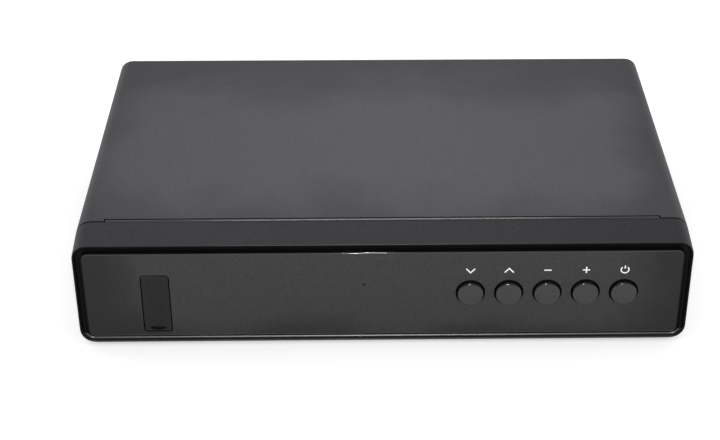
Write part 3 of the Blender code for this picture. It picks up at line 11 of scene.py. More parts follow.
import bmesh
import bpy
import numpy as np
from bpy.props import FloatProperty, FloatVectorProperty, PointerProperty
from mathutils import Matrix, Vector


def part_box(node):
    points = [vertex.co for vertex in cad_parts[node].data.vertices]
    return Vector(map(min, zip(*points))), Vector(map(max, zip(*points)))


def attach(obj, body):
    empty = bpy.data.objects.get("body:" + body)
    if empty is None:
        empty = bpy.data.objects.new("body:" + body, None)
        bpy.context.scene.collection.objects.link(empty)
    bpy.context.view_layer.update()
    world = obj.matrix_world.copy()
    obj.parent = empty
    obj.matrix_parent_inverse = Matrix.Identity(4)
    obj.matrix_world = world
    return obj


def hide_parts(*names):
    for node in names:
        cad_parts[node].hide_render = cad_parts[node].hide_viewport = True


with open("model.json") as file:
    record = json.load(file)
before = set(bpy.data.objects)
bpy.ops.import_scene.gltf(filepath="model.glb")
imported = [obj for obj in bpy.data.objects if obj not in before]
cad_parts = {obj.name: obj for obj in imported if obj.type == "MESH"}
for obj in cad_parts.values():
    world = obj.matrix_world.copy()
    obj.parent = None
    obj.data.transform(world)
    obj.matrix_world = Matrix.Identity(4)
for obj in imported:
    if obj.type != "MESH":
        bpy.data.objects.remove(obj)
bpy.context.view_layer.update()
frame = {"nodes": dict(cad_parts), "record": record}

bl_info = {
    "name": "Satellite receiver",
    "version": (1, 0, 0),
    "blender": (4, 5, 0),
    "location": "View3D > Sidebar > Receiver",
    "description": "Builds the finished surfaces of a compact satellite receiver",
    "category": "Object",
}

BODIES = frame["record"]["behaviour"]["bodies"]
BODY_OF = {node: body for body, nodes in BODIES.items() for node in nodes}
BUTTONS = ("channel_down", "channel_up", "volume_down", "volume_up", "power")
MM = 0.001
WELD = 0.002 * MM
SMOOTH_ANGLE = math.radians(38)
ROUND_STEPS = 64
FRONT = np.array((0.0, -1.0, 0.0))
REAR = np.array((0.0, 1.0, 0.0))
UP = np.array((0.0, 0.0, 1.0))
GREY = (0.1, 0.1, 0.1, 1.0)
WHITE = (1.0, 1.0, 1.0, 1.0)
Axes = namedtuple("Axes", "x y z")


def length(name, description, millimetres):
    return FloatProperty(name=name, description=description, default=millimetres * MM, min=0.0,
                         unit="LENGTH", precision=5)


def colour(name, description, red, green, blue):
    return FloatVectorProperty(name=name, description=description, default=(red, green, blue), size=3,
                               min=0.0, max=1.0, subtype="COLOR")


def amount(name, description, value, most=None):
    limits = {"min": 0.0, "max": most} if most else {}
    return FloatProperty(name=name, description=description, default=value, **limits)


def position(name, description, *values):
    return FloatVectorProperty(name=name, description=description, default=values, size=len(values),
                               unit="LENGTH", precision=5)


class ReceiverSizes(bpy.types.PropertyGroup):
    cap_radius: length("Cap radius", "Radius of a button's round cap", 3.55)
    cap_fillet: length("Cap fillet", "Rounding round a button's face", 0.5)
    flange_thickness: length("Flange", "Thickness of the flange that holds a button in", 0.8)
    plunger_radius: length("Plunger radius", "Radius of the plunger behind a button", 1.4)
    plunger_length: length("Plunger length", "Length of the plunger behind a button", 0.8)
    symbol_raise: length("Symbol height over buttons", "From a button's centre up to its symbol", 7.12)
    symbol_width: length("Symbol width", "Width of a chevron", 2.7)
    symbol_height: length("Symbol height", "Height of a chevron", 1.75)
    symbol_arm: length("Symbol arm", "Half length of the minus and plus", 1.0)
    symbol_ring: length("Symbol ring", "Radius of the power ring", 1.05)
    symbol_stroke: length("Symbol stroke", "Width of the printed strokes", 0.36)
    ink_thickness: length("Ink thickness", "How far the print stands on the plate", 0.02)
    front_middle: length("Middle of the front", "Height of the front's middle line", 17.0)
    cove_radius: length("Cove radius", "Hollow rounding at the bottom of the groove", 0.85)
    cove_depth: length("Cove depth", "From the bezel's front to the cove's deepest line", 1.0)
    cove_inset: length("Cove inset", "From the bezel's outside to the groove's wall", 0.7)
    groove_depth: length("Groove depth", "From the bezel's front to the groove's floor", 1.5)
    corner_radius: length("Corner radius", "Outside corners of the front", 4.2)
    rim_width: length("Rim width", "Width of the rim round the groove", 0.7)
    bezel_depth: length("Bezel depth", "From the bezel's front to the seam", 11.6)
    lens_radius: length("Lens radius", "Smoked lens in the standby light's hole", 0.38)
    sheet_edge: length("Sheet edge", "Rounding of the cover's cut edges", 0.12)
    flap_edge: length("Flap edge", "Rounding of the flap's edges", 0.08)
    foot_edge: length("Foot edge", "Rounding of a rubber foot", 0.35)
    thread_pitch: length("Thread pitch", "Pitch of the dish sockets' thread", 0.794)
    thread_depth: length("Thread depth", "Depth of the dish sockets' thread", 0.38)
    thread_runout: length("Thread runout", "Plain length at each end of the thread", 0.7)
    barrel_radius: length("Barrel radius", "Radius over the dish sockets' thread", 4.75)
    sleeve_radius: length("Sleeve radius", "Outer radius of a round audio socket", 4.2)
    sleeve_wall: length("Sleeve wall", "Wall of a round audio socket's sleeve", 0.4)
    sleeve_flange: length("Sleeve flange", "Thickness of the sleeve's flange", 0.8)
    contact_width: length("Contact width", "Width of a contact in the screen socket", 0.3)
    contact_skin: length("Contact skin", "How far a contact strip stands on its tongue", 0.02)


class ReceiverColours(bpy.types.PropertyGroup):
    cover: colour("Cover paint", "Textured paint on the sheet cover", 0.0795, 0.0778, 0.0908)
    bezel: colour("Bezel plastic", "Moulded front", 0.0305, 0.0292, 0.0335)
    # band: the bezel's plastic at a raised tone, which the painted light falloff keeps only on the band's
    # left part
    band: colour("Band plastic", "Moulded front where handling has left a haze", 0.038, 0.0364, 0.0418)
    # shaded: painted shade, a darker copy of the front's plastic for the groove, rim, wells, walls and
    # seam gaps; the smoked lens shares its tone
    shaded: colour("Shaded plastic", "Groove, rim and button wells", 0.0052, 0.0052, 0.0056)
    window: colour("Window plastic", "Smooth plate in the front", 0.028, 0.0278, 0.0293)
    button: colour("Button plastic", "Round caps", 0.0158, 0.0155, 0.0167)
    # side: painted shade, a darker copy of the button plastic for the caps' sides
    side: colour("Cap side plastic", "Sides of the round caps", 0.0075, 0.0075, 0.008)
    flap: colour("Flap plastic", "Door over the USB socket", 0.008, 0.008, 0.0085)
    ink: colour("Ink", "White print over the buttons", 0.86, 0.86, 0.86)
    zinc: colour("Zinc", "Plated chassis sheet", 0.58, 0.6, 0.62)
    tin: colour("Tin", "Tuner can and socket shells", 0.66, 0.66, 0.64)
    nickel: colour("Nickel", "Threaded and round sockets", 0.7, 0.68, 0.64)
    gold: colour("Gold", "Contacts", 0.83, 0.6, 0.26)
    black_steel: colour("Black steel", "Screws", 0.055, 0.055, 0.058)
    aluminium: colour("Aluminium", "Heat sink", 0.55, 0.55, 0.57)
    rubber: colour("Rubber", "Feet", 0.018, 0.018, 0.018)
    board: colour("Board", "Green solder mask", 0.012, 0.09, 0.035)
    copper: colour("Tracks", "Copper under the solder mask", 0.03, 0.17, 0.06)
    black: colour("Black plastic", "Moulded black parts", 0.016, 0.016, 0.018)
    white: colour("White plastic", "Connector housings and insulators", 0.74, 0.73, 0.69)
    yellow: colour("Video yellow", "Core of the video socket", 0.75, 0.5, 0.03)
    red: colour("Right red", "Core of the right audio socket", 0.55, 0.02, 0.02)
    orange: colour("Digital orange", "Core of the digital audio socket", 0.78, 0.2, 0.02)
    sleeve: colour("Capacitor sleeve", "Shrunk film round a capacitor", 0.02, 0.035, 0.09)
    epoxy: colour("Light epoxy", "Red standby light", 0.45, 0.03, 0.02)
    film: colour("Cable film", "Flat cable between the boards", 0.78, 0.78, 0.74)


class ReceiverStage(bpy.types.PropertyGroup):
    lens: amount("Lens", "Focal length in millimetres", 80.367)
    shift: amount("Shift", "Sideways shift of the camera", -0.0486)
    camera_place: position("Camera place", "Where the camera stands", -0.00465, -0.420085, 0.265852)
    camera_turn: FloatVectorProperty(name="Camera turn", description="How the camera is turned",
                                     default=(1.012236, -0.003814, -0.018837), size=3, subtype="EULER")
    room_level: amount("Room level", "Light of the room on the surfaces", 0.76)
    ceiling_level: amount("Ceiling level", "Ceiling as glossy surfaces show it", 0.42)
    shade_level: amount("Shade level", "Dark of the room overhead and at the camera", 0.12)
    panel_level: amount("Panel level", "Brightness of the strip behind", 5.0)
    panel_size: position("Panel size", "Width and height of the strip behind", 0.19, 0.03)
    panel_place: position("Panel place", "Where the strip behind hangs", 0.0068, 0.33, 0.269)
    panel_target: position("Panel target", "What the strip behind faces", 0.0, 0.01, 0.033)
    lamp_level: amount("Lamp level", "Brightness of the small lamp", 1000.0)
    lamp_size: position("Lamp size", "Width and height of the small lamp", 0.021, 0.012)
    lamp_offset: position("Lamp offset", "From the camera to the small lamp", 0.0015, 0.0, 0.03)
    lamp_target: position("Lamp target", "What the small lamp faces", 0.0, -0.06, 0.017)
    floor_tone: amount("Floor tone", "Reflectance of the floor", 0.9, 1.0)
    floor_lift: amount("Floor lift", "Light added to the far floor for the camera", 0.5)
    shadow_share: amount("Shadow share", "Share of that light near the receiver", 0.68, 1.0)


# Meshes

def grid_mesh(name, points):
    """Closed-round surface: row i of the grid is one ring, and each ring runs on into the next.

    Corner (i, j) joins (i + 1, j), (i + 1, j + 1) and (i, j + 1), with j counted round the ring.
    """
    rows, columns = points.shape[:2]
    index = np.arange(rows * columns).reshape(rows, columns)
    index = np.concatenate([index, index[:, :1]], axis=1)
    faces = np.stack([index[:-1, :-1], index[:-1, 1:], index[1:, 1:], index[1:, :-1]], axis=-1)
    return welded(name, points.reshape(-1, 3), faces.reshape(-1, 4))


def welded(name, points, faces):
    """Mesh of these faces with equal corners joined, so poles close, and all faces outwards."""
    mesh = bpy.data.meshes.new(name)
    mesh.from_pydata(points.tolist(), [], faces.tolist())
    shape = bmesh.new()
    shape.from_mesh(mesh)
    bmesh.ops.remove_doubles(shape, verts=shape.verts, dist=WELD)
    bmesh.ops.recalc_face_normals(shape, faces=shape.faces)
    shape.to_mesh(mesh)
    shape.free()
    return mesh


def arc(centre, radius, start, end, steps=6):
    """Points (radius, distance) of an arc from one angle to another, in degrees."""
    angle = np.radians(np.linspace(start, end, steps + 1))
    return np.stack([centre[0] + radius * np.cos(angle), centre[1] + radius * np.sin(angle)], axis=1)


def around(profile, centre, axis, segments=ROUND_STEPS):
    """Rings of a turned shape: each profile point (radius, distance) goes round the axis.

    The point lies at centre + distance x axis + radius x (cos a x side + sin a x across). The radius
    and distance may also change round the ring, as on a thread.
    """
    side = np.array((1.0, 0.0, 0.0))
    across = np.cross(axis, side)
    angle = np.linspace(0.0, 2 * np.pi, segments, endpoint=False)
    ring = np.cos(angle)[:, None] * side + np.sin(angle)[:, None] * across
    radius, distance = (np.broadcast_to(profile[..., part].reshape(len(profile), -1),
                                        (len(profile), segments)) for part in (0, 1))
    return np.asarray(centre) + distance[..., None] * axis + radius[..., None] * ring


def bars(name, lows, size):
    """A row of small boxes of one size: the unit box's corners are scaled and shifted."""
    unit = np.array([(x, y, z) for x in (0, 1) for y in (0, 1) for z in (0, 1)], float)
    sides = np.array([(0, 1, 3, 2), (4, 6, 7, 5), (0, 4, 5, 1), (2, 3, 7, 6), (0, 2, 6, 4), (1, 5, 7, 3)])
    points = lows[:, None, :] + unit[None] * size
    faces = sides[None] + len(unit) * np.arange(len(lows))[:, None, None]
    return welded(name, points.reshape(-1, 3), faces.reshape(-1, 4))


def stroke_mesh(name, path, width, thickness, face_y):
    """A printed stroke: a low cushion-shaped section carried along a path in the plate's plane.

    At each path point the section is set out along the mitre of the two neighbouring directions,
    at the stroke's half width over the cosine of half the bend, so the width stays the same.
    """
    step = np.diff(path, axis=0)
    step /= np.linalg.norm(step, axis=1)[:, None]
    before = np.vstack([step[:1], step])
    after = np.vstack([step, step[-1:]])
    tangent = before + after
    tangent /= np.linalg.norm(tangent, axis=1)[:, None]
    bend = np.sum(tangent * before, axis=1)
    normal = np.stack([-tangent[:, 1], tangent[:, 0]], axis=1) / bend[:, None]
    section = np.array([(-0.5, 0.0), (-0.46, 0.75), (-0.4, 1.0), (0.4, 1.0), (0.46, 0.75), (0.5, 0.0)])
    flat = path[:, None, :] + normal[:, None, :] * section[None, :, :1] * width
    depth = np.broadcast_to(face_y - section[None, :, 1] * thickness, flat.shape[:2])
    points = np.stack([flat[..., 0], depth, flat[..., 1]], axis=-1)
    ends = points.mean(axis=1, keepdims=True)
    points = np.concatenate([np.repeat(ends[:1], len(section), axis=1), points,
                             np.repeat(ends[-1:], len(section), axis=1)])
    return grid_mesh(name, points)


def pad_mesh(name, outline, thickness, face_y):
    """A printed pad: its outline, drawn in towards the centre over the ink's rounded edge."""
    centre = outline.mean(axis=0)
    steps = np.array([(0.0, 0.0), (1.0, 0.0), (0.97, 0.75), (0.93, 1.0), (0.0, 1.0)])
    flat = centre + (outline - centre)[None] * steps[:, :1, None]
    depth = np.broadcast_to(face_y - steps[:, 1:] * thickness, flat.shape[:2])
    return grid_mesh(name, np.stack([flat[..., 0], depth, flat[..., 1]], axis=-1))


def place(name, mesh, materials, body):
    """Puts a finished mesh in the scene, riding on a body, smooth up to the crease angle."""
    piece = bpy.data.objects.new(name, mesh)
    bpy.context.scene.collection.objects.link(piece)
    for material in materials:
        mesh.materials.append(material)
    mesh.shade_smooth()
    mesh.set_sharp_from_angle(angle=SMOOTH_ANGLE)
    even = piece.modifiers.new("even normals", "WEIGHTED_NORMAL")
    even.keep_sharp = True
    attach(piece, body)
    return piece


def seat(node, axis):
    """Where the axis enters a round node's box, how long the node is along it, and its radius."""
    low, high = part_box(node)
    base = np.where(axis > 0, low, np.where(axis < 0, high, (low + high) / 2))
    return base, abs(axis @ np.subtract(high, low)), (high.x - low.x) / 2


def turned(name, node, profile, base, axis, materials, segments=ROUND_STEPS):
    """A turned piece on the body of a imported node: the profile goes round the axis through the base."""
    mesh = grid_mesh(name, around(profile, base, axis, segments))
    return place(name, mesh, materials, BODY_OF[node])


def stand_in(node):
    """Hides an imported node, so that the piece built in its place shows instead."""
    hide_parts(node)


def refined(node, name, materials, edge=0.0):
    """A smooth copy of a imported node: its loose triangles are joined, and its creases kept."""
    mesh = frame["nodes"][node].data.copy()
    mesh.name = name
    mesh.materials.clear()
    if "custom_normal" in mesh.attributes:
        mesh.attributes.remove(mesh.attributes["custom_normal"])
    shape = bmesh.new()
    shape.from_mesh(mesh)
    bmesh.ops.remove_doubles(shape, verts=shape.verts, dist=WELD)
    bmesh.ops.dissolve_degenerate(shape, edges=shape.edges, dist=WELD)
    shape.to_mesh(mesh)
    shape.free()
    piece = place(name, mesh, materials, BODY_OF[node])
    if edge:
        bevel = piece.modifiers.new("edges", "BEVEL")
        bevel.width = edge
        bevel.segments = 2
        bevel.limit_method = "ANGLE"
        bevel.angle_limit = math.radians(60)
        bevel.harden_normals = True
        piece.modifiers.move(1, 0)
    stand_in(node)
    return piece


def faces_of(piece):
    """Centres and normals of a piece's faces, each as three arrays: x, y and z."""
    faces = piece.data.polygons
    found = []
    for key in ("center", "normal"):
        numbers = np.empty(len(faces) * 3)
        faces.foreach_get(key, numbers)
        found.append(Axes(*numbers.reshape(-1, 3).T))
    return found


def finish_faces(piece, number, chosen):
    """Gives the chosen faces one of the piece's materials."""
    faces = piece.data.polygons
    numbers = np.empty(len(faces), np.int32)
    faces.foreach_get("material_index", numbers)
    numbers[chosen] = number
    faces.foreach_set("material_index", numbers)


def paint(nodes, material):
    """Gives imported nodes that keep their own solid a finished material."""
    for node in nodes:
        mesh = frame["nodes"][node].data
        mesh.materials.clear()
        mesh.materials.append(material)


def middle(node):
    low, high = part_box(node)
    return (low + high) / 2


# Shader nodes

def add(tree, kind, settings, inputs):
    """A node with its settings, and a value or a link for each named or numbered input."""
    made = tree.nodes.new("ShaderNode" + kind)
    for key, value in settings.items():
        setattr(made, key, value)
    for key, value in inputs.items():
        if isinstance(value, bpy.types.NodeSocket):
            tree.links.new(value, made.inputs[key])
        else:
            made.inputs[key].default_value = value
    return made


def drive(tree, node, values):
    """Links each value to the node's input of that name."""
    for key, value in values.items():
        tree.links.new(value, node.inputs[key])


def maths(tree, operation, *values):
    return add(tree, "Math", {"operation": operation}, dict(enumerate(values))).outputs[0]


def vector_maths(tree, operation, *vectors):
    return add(tree, "VectorMath", {"operation": operation}, dict(enumerate(vectors))).outputs[0]


def noise(tree, vector, scale, detail, **others):
    inputs = {"Vector": vector, "Scale": scale, "Detail": detail, **others}
    return add(tree, "TexNoise", {}, inputs).outputs[0]


def cells(tree, vector, scale, **settings):
    """A cell pattern: how far each point is from its cell's centre, and the cell's random colour."""
    return add(tree, "TexVoronoi", settings, {"Vector": vector, "Scale": scale}).outputs


def shares_of(tree, colour_value):
    """The red, green and blue of a random colour, as three random numbers."""
    return add(tree, "SeparateColor", {}, {"Color": colour_value}).outputs


def axes_of(tree, vector):
    return add(tree, "SeparateXYZ", {}, {0: vector}).outputs


def spread(tree, value, low, high, out_low=0.0, out_high=1.0):
    """Maps a value smoothly from one range to another."""
    return add(tree, "MapRange", {"interpolation_type": "SMOOTHSTEP"},
               {"Value": value, "From Min": low, "From Max": high, "To Min": out_low,
                "To Max": out_high}).outputs["Result"]


def blend_value(tree, factor, first, second):
    """Mix node on numbers, whose sockets are its second and third."""
    return add(tree, "Mix", {"data_type": "FLOAT"}, {"Factor": factor, 2: first, 3: second}).outputs[0]


def blend_colour(tree, factor, first, second):
    """Mix node on colours, whose sockets are its sixth and seventh."""
    return add(tree, "Mix", {"data_type": "RGBA"}, {"Factor": factor, 6: first, 7: second}).outputs[2]


# Shader effects that the finishes share

def effect(name, inputs):
    """A new shader node group with a Vector and these inputs, whose kinds follow from their values."""
    tree = bpy.data.node_groups.new(name, "ShaderNodeTree")
    for label, value in {"Vector": (0.0, 0.0, 0.0), **inputs}.items():
        kind = "Float" if isinstance(value, float) else {3: "Vector", 4: "Color"}[len(value)]
        socket = tree.interface.new_socket(label, in_out="INPUT", socket_type="NodeSocket" + kind)
        socket.default_value = value
    return tree, tree.nodes.new("NodeGroupInput").outputs


def deliver(tree, results):
    """Ends a node group with these named results, and hands the group over."""
    for label in results:
        kind = "Color" if label == "Colour" else "Float"
        tree.interface.new_socket(label, in_out="OUTPUT", socket_type="NodeSocket" + kind)
    drive(tree, tree.nodes.new("NodeGroupOutput"), results)
    return tree


def grain_effect(name):
    """Fine grain of paint and moulded plastic: two noises of different size, added."""
    tree, given = effect(name, {"Scale": 3000.0})
    coarse = noise(tree, given["Vector"], given["Scale"], 2.0)
    fine = noise(tree, given["Vector"], maths(tree, "MULTIPLY", given["Scale"], 2.6), 1.0)
    total = maths(tree, "MULTIPLY_ADD", fine, 0.4, coarse)
    return deliver(tree, {"Height": total, "Mask": spread(tree, coarse, 0.35, 0.65)})


def cloud_effect(name):
    """Soft patches where handling has changed the tone: a large noise between two colours."""
    tree, given = effect(name, {"Tone": GREY, "Deeper tone": GREY, "Scale": 30.0})
    large = noise(tree, given["Vector"], given["Scale"], 4.0, Roughness=0.55, Distortion=0.6)
    mask = spread(tree, large, 0.56, 0.74)
    mixed = blend_colour(tree, mask, given["Tone"], given["Deeper tone"])
    return deliver(tree, {"Colour": mixed, "Mask": mask})


def dust_effect(name):
    """Sparse pale specks that settle on what faces up, strongest on level faces."""
    tree, given = effect(name, {"Colour": GREY, "Dust": GREY, "Amount": 0.3})
    pattern = cells(tree, given["Vector"], 420.0)
    reach = spread(tree, shares_of(tree, pattern["Color"])[0], 0.75, 1.0, 0.0, 0.09)
    speck = maths(tree, "LESS_THAN", pattern["Distance"], reach)
    facing = axes_of(tree, add(tree, "TexCoord", {}, {}).outputs["Normal"])
    level = spread(tree, facing["Z"], 0.3, 0.95)
    mask = maths(tree, "MULTIPLY", maths(tree, "MULTIPLY", speck, level), given["Amount"])
    mixed = blend_colour(tree, mask, given["Colour"], given["Dust"])
    return deliver(tree, {"Colour": mixed, "Mask": mask})


def light_falloff_effect(name):
    """Painted light falloff: a face keeps its tone in its middle and is painted darker towards its edges,
    as painted shade.

    Along each axis the mask climbs from the edge, where the distance to it is zero, over the fade.
    """
    tree, given = effect(name, {"Colour": GREY, "Rubbed share": 0.6, "Centre": (0.0, 0.0, 0.0),
                                "Half size": (1.0, 1.0, 1.0), "Fade": (0.1, 0.1, 0.1)})
    away = vector_maths(tree, "ABSOLUTE", vector_maths(tree, "SUBTRACT", given["Vector"], given["Centre"]))
    left = vector_maths(tree, "SUBTRACT", given["Half size"], away)
    share = axes_of(tree, vector_maths(tree, "DIVIDE", left, given["Fade"]))
    ragged = spread(tree, noise(tree, given["Vector"], 28.0, 3.0), 0.3, 0.7, -0.25, 0.25)
    mask = 1.0
    for axis in ("X", "Y", "Z"):
        climb = spread(tree, maths(tree, "ADD", share[axis], ragged), 0.0, 1.0)
        mask = maths(tree, "MULTIPLY", mask, climb)
    # painted shade: outside the mask the colour is scaled down to its shaded share
    falloff_tone = add(tree, "VectorMath", {"operation": "SCALE"},
                 {0: given["Colour"], "Scale": given["Rubbed share"]}).outputs[0]
    return deliver(tree, {"Colour": blend_colour(tree, mask, falloff_tone, given["Colour"]), "Mask": mask})


def flake_effect(name):
    """Crystal flakes of zinc plating: each cell of a cell pattern has its own tone."""
    tree, given = effect(name, {"Tone": GREY, "Deeper tone": GREY, "Scale": 300.0})
    random = shares_of(tree, cells(tree, given["Vector"], given["Scale"])["Color"])
    mixed = blend_colour(tree, random[0], given["Tone"], given["Deeper tone"])
    return deliver(tree, {"Colour": mixed, "Mask": random[1]})


def drawn_effect(name):
    """Fine lines left by rolling or turning: a noise that is stretched along one direction."""
    tree, given = effect(name, {"Scale": (1.0, 1.0, 1.0)})
    lines = noise(tree, vector_maths(tree, "MULTIPLY", given["Vector"], given["Scale"]), 1.0, 3.0)
    return deliver(tree, {"Mask": spread(tree, lines, 0.3, 0.7), "Height": lines})


def track_effect(name):
    """Copper tracks under solder mask: thin bands of a stepped cell pattern, with round pads."""
    tree, given = effect(name, {"Scale": 260.0})
    away = cells(tree, given["Vector"], given["Scale"], distance="CHEBYCHEV")["Distance"]
    band = spread(tree, maths(tree, "SINE", maths(tree, "MULTIPLY", away, 38.0)), -0.1, 0.15)
    return deliver(tree, {"Mask": band, "Height": band})


EFFECTS = {"fine_grain": grain_effect, "cloudy_tone": cloud_effect, "settled_dust": dust_effect,
           "handled_haze": light_falloff_effect, "zinc_flakes": flake_effect, "drawn_lines": drawn_effect,
           "board_tracks": track_effect}


def use(tree, name, inputs):
    """Places a shared effect in a material, building its group the first time."""
    group = bpy.data.node_groups.get(name) or EFFECTS[name](name)
    return add(tree, "Group", {"node_tree": group}, inputs)


# Finishes

# Each plastic's colour, roughness, grain (scale, height in millimetres) and tone of its deeper
# patches as a share of its own, and what differs from the defaults of moulded.
PLASTICS = {
    "textured_cover_paint": ("cover", 0.5, 2600, 0.012, 0.95,
                             {"dust": 0.25, "sheen": 0.4, "speckle": 0.14}),
    "grained_bezel_plastic": ("band", 0.45, 2800, 0.005, 0.97,
                              {"dust": 0.15, "sheen": 0.17, "speckle": 0.22}),
    "smooth_bezel_plastic": ("window", 0.3, 4000, 0.003, 0.85, {}),
    "polished_lip_plastic": ("bezel", 0.18, 1400, 0.006, 0.85, {"sheen": 0.6}),
    "polished_rim_plastic": ("bezel", 0.36, 4000, 0.001, 0.9, {"sheen": 0.48}),
    # the shaded plastics carry the painted shade's dark tone; the cove's adds a glossy sheen to it
    "shaded_black_plastic": ("shaded", 0.4, 6000, 0.001, 0.9, {"sheen": 0.07}),
    "satin_cove_plastic": ("shaded", 0.385, 2200, 0.01, 0.85, {"sheen": 1.0, "ior": 1.66}),
    "glossy_window_plastic": ("window", 0.06, 2800, 0.0002, 0.9,
                              {"dust": 0.2, "sheen": 0.35, "speckle": 0.17}),
    "polished_window_edge": ("window", 0.05, 3600, 0.0001, 0.94, {"sheen": 0.75}),
    "smoked_lens_plastic": ("shaded", 0.15, 3600, 0.0003, 0.9, {"sheen": 0.3}),
    "matt_flap_plastic": ("flap", 0.45, 2800, 0.004, 0.85, {"sheen": 0.28, "speckle": 0.4}),
    "satin_button_plastic": ("button", 0.2, 4200, 0.0005, 0.92, {"sheen": 0.7, "speckle": 0.2}),
    # the caps' sides: painted shade, darker than the caps' faces
    "polished_side_plastic": ("side", 0.22, 4200, 0.0003, 0.92, {"sheen": 0.6}),
    "white_ink": ("ink", 0.5, 5200, 0.001, 0.97, {}),
    "white_insulator_plastic": ("white", 0.45, 5200, 0.002, 0.96, {}),
    "black_housing_plastic": ("black", 0.45, 5200, 0.004, 0.9, {}),
    **{tone + "_core_plastic": (tone, 0.38, 5200, 0.002, 0.95, {})
       for tone in ("yellow", "white", "red", "orange")},
    "matt_foot_rubber": ("rubber", 0.75, 3600, 0.02, 0.85, {}),
    "pale_cable_film": ("film", 0.35, 3000, 0.002, 0.93, {}),
    "shrunk_capacitor_sleeve": ("sleeve", 0.3, 3000, 0.002, 0.9, {}),
    "red_light_epoxy": ("epoxy", 0.12, 3000, 0.0005, 0.9, {}),
}

# Each metal's colour, roughness and scale of its drawn lines along X, Y and Z, and what differs
# from the defaults of metal.
METALS = {
    "turned_nickel": ("nickel", 0.24, (4000.0, 400.0, 4000.0), {}),
    "gold_contact_strip": ("gold", 0.25, (300.0, 6000.0, 6000.0), {}),
    "drawn_tin_plate": ("tin", 0.3, (300.0, 6000.0, 6000.0), {}),
    "zinc_flake_sheet": ("zinc", 0.34, (500.0, 2500.0, 2500.0), {"flakes": 420.0, "deeper": 0.93}),
    "blackened_screw_steel": ("black_steel", 0.36, (3000.0, 3000.0, 3000.0), {}),
    "finned_aluminium": ("aluminium", 0.38, (300.0, 6000.0, 6000.0), {}),
}
FINISHES = {}


def finish(name, colours, **more):
    """The finish of this name, which is made the first time from its row."""
    if name not in FINISHES:
        make, rows = (moulded, PLASTICS) if name in PLASTICS else (metal, METALS)
        colour_name, *values, others = rows[name]
        FINISHES[name] = make(name, getattr(colours, colour_name), *values, **others, **more)
    return FINISHES[name]


def finishes(colours, *names):
    return [finish(name, colours) for name in names]


def rgba(value, share=1.0):
    return (value[0] * share, value[1] * share, value[2] * share, 1.0)


def new_finish(name, shader_values):
    """A Principled material: its tree, its shader node and its Object coordinates."""
    material = bpy.data.materials.new(name)
    material.use_nodes = True
    tree = material.node_tree
    shader = tree.nodes["Principled BSDF"]
    for key, value in shader_values.items():
        shader.inputs[key].default_value = value
    return material, tree, shader, tree.nodes.new("ShaderNodeTexCoord").outputs["Object"]


def bump(tree, height, distance):
    return add(tree, "Bump", {}, {"Height": height, "Distance": distance, "Strength": 1.0}).outputs[0]


def moulded(name, tone, roughness, grains, height, cloud, dust=0.0, sheen=0.5, speckle=0.0, ior=1.5,
            haze=None):
    """Moulded plastic or paint: cloudy tone, fine grain, uneven sheen, a painted light falloff where one
    is given, and a little dust.
    """
    material, tree, shader, place_of = new_finish(name, {"IOR": ior, "Specular IOR Level": sheen})
    grain = use(tree, "fine_grain", {"Vector": place_of, "Scale": grains}).outputs
    plain = rgba(tone)
    if speckle:
        plain = blend_colour(tree, grain["Mask"], rgba(tone, 1 - speckle), rgba(tone, 1 + speckle))
    cloudy = use(tree, "cloudy_tone", {"Vector": place_of, "Tone": plain, "Deeper tone": rgba(tone, cloud),
                                       "Scale": 34.0}).outputs
    base = cloudy["Colour"]
    # painted light falloff: darker towards the face's edges, as painted shade
    if haze:
        base = use(tree, "handled_haze", {"Vector": place_of, "Colour": base, **haze}).outputs["Colour"]
    if dust:
        base = use(tree, "settled_dust", {"Vector": place_of, "Colour": base, "Dust": (0.3, 0.3, 0.3, 1.0),
                                          "Amount": dust}).outputs["Colour"]
    uneven = spread(tree, cloudy["Mask"], 0.0, 1.0, roughness, min(1.0, roughness * 1.05))
    drive(tree, shader, {"Base Color": base, "Roughness": uneven,
                         "Normal": bump(tree, grain["Height"], height * MM)})
    return material


def metal(name, tone, roughness, lines, flakes=0.0, deeper=0.86):
    """Plated or bare metal: drawn lines change its sheen, and zinc flakes its tone."""
    material, tree, shader, place_of = new_finish(name, {"Metallic": 1.0})
    drawn = use(tree, "drawn_lines", {"Vector": place_of, "Scale": lines}).outputs
    effect_name, scale = ("zinc_flakes", flakes) if flakes else ("cloudy_tone", 120.0)
    tones = use(tree, effect_name, {"Vector": place_of, "Tone": rgba(tone),
                                    "Deeper tone": rgba(tone, deeper), "Scale": scale}).outputs
    sheen = spread(tree, drawn["Mask"], 0.0, 1.0, roughness * 0.85, roughness * 1.15)
    drive(tree, shader, {"Base Color": tones["Colour"], "Roughness": sheen,
                         "Normal": bump(tree, drawn["Height"], 0.002 * MM)})
    return material


def board_finish(name, tone, track):
    """Circuit board: solder mask over raised tracks, with a satin sheen."""
    material, tree, shader, place_of = new_finish(name, {"IOR": 1.5})
    tracks = use(tree, "board_tracks", {"Vector": place_of, "Scale": 110.0}).outputs
    drive(tree, shader, {"Base Color": blend_colour(tree, tracks["Mask"], rgba(tone), rgba(track)),
                         "Roughness": spread(tree, tracks["Mask"], 0.0, 1.0, 0.42, 0.3),
                         "Normal": bump(tree, tracks["Height"], 0.03 * MM)})
    return material


# Pieces

class ReceiverOperator:
    """What every operator of this add-on shares."""

    bl_options = {"REGISTER", "UNDO"}

    def execute(self, context):
        scene = context.scene
        self.build(scene.receiver_sizes, scene.receiver_colours, scene.receiver_stage)
        return {"FINISHED"}


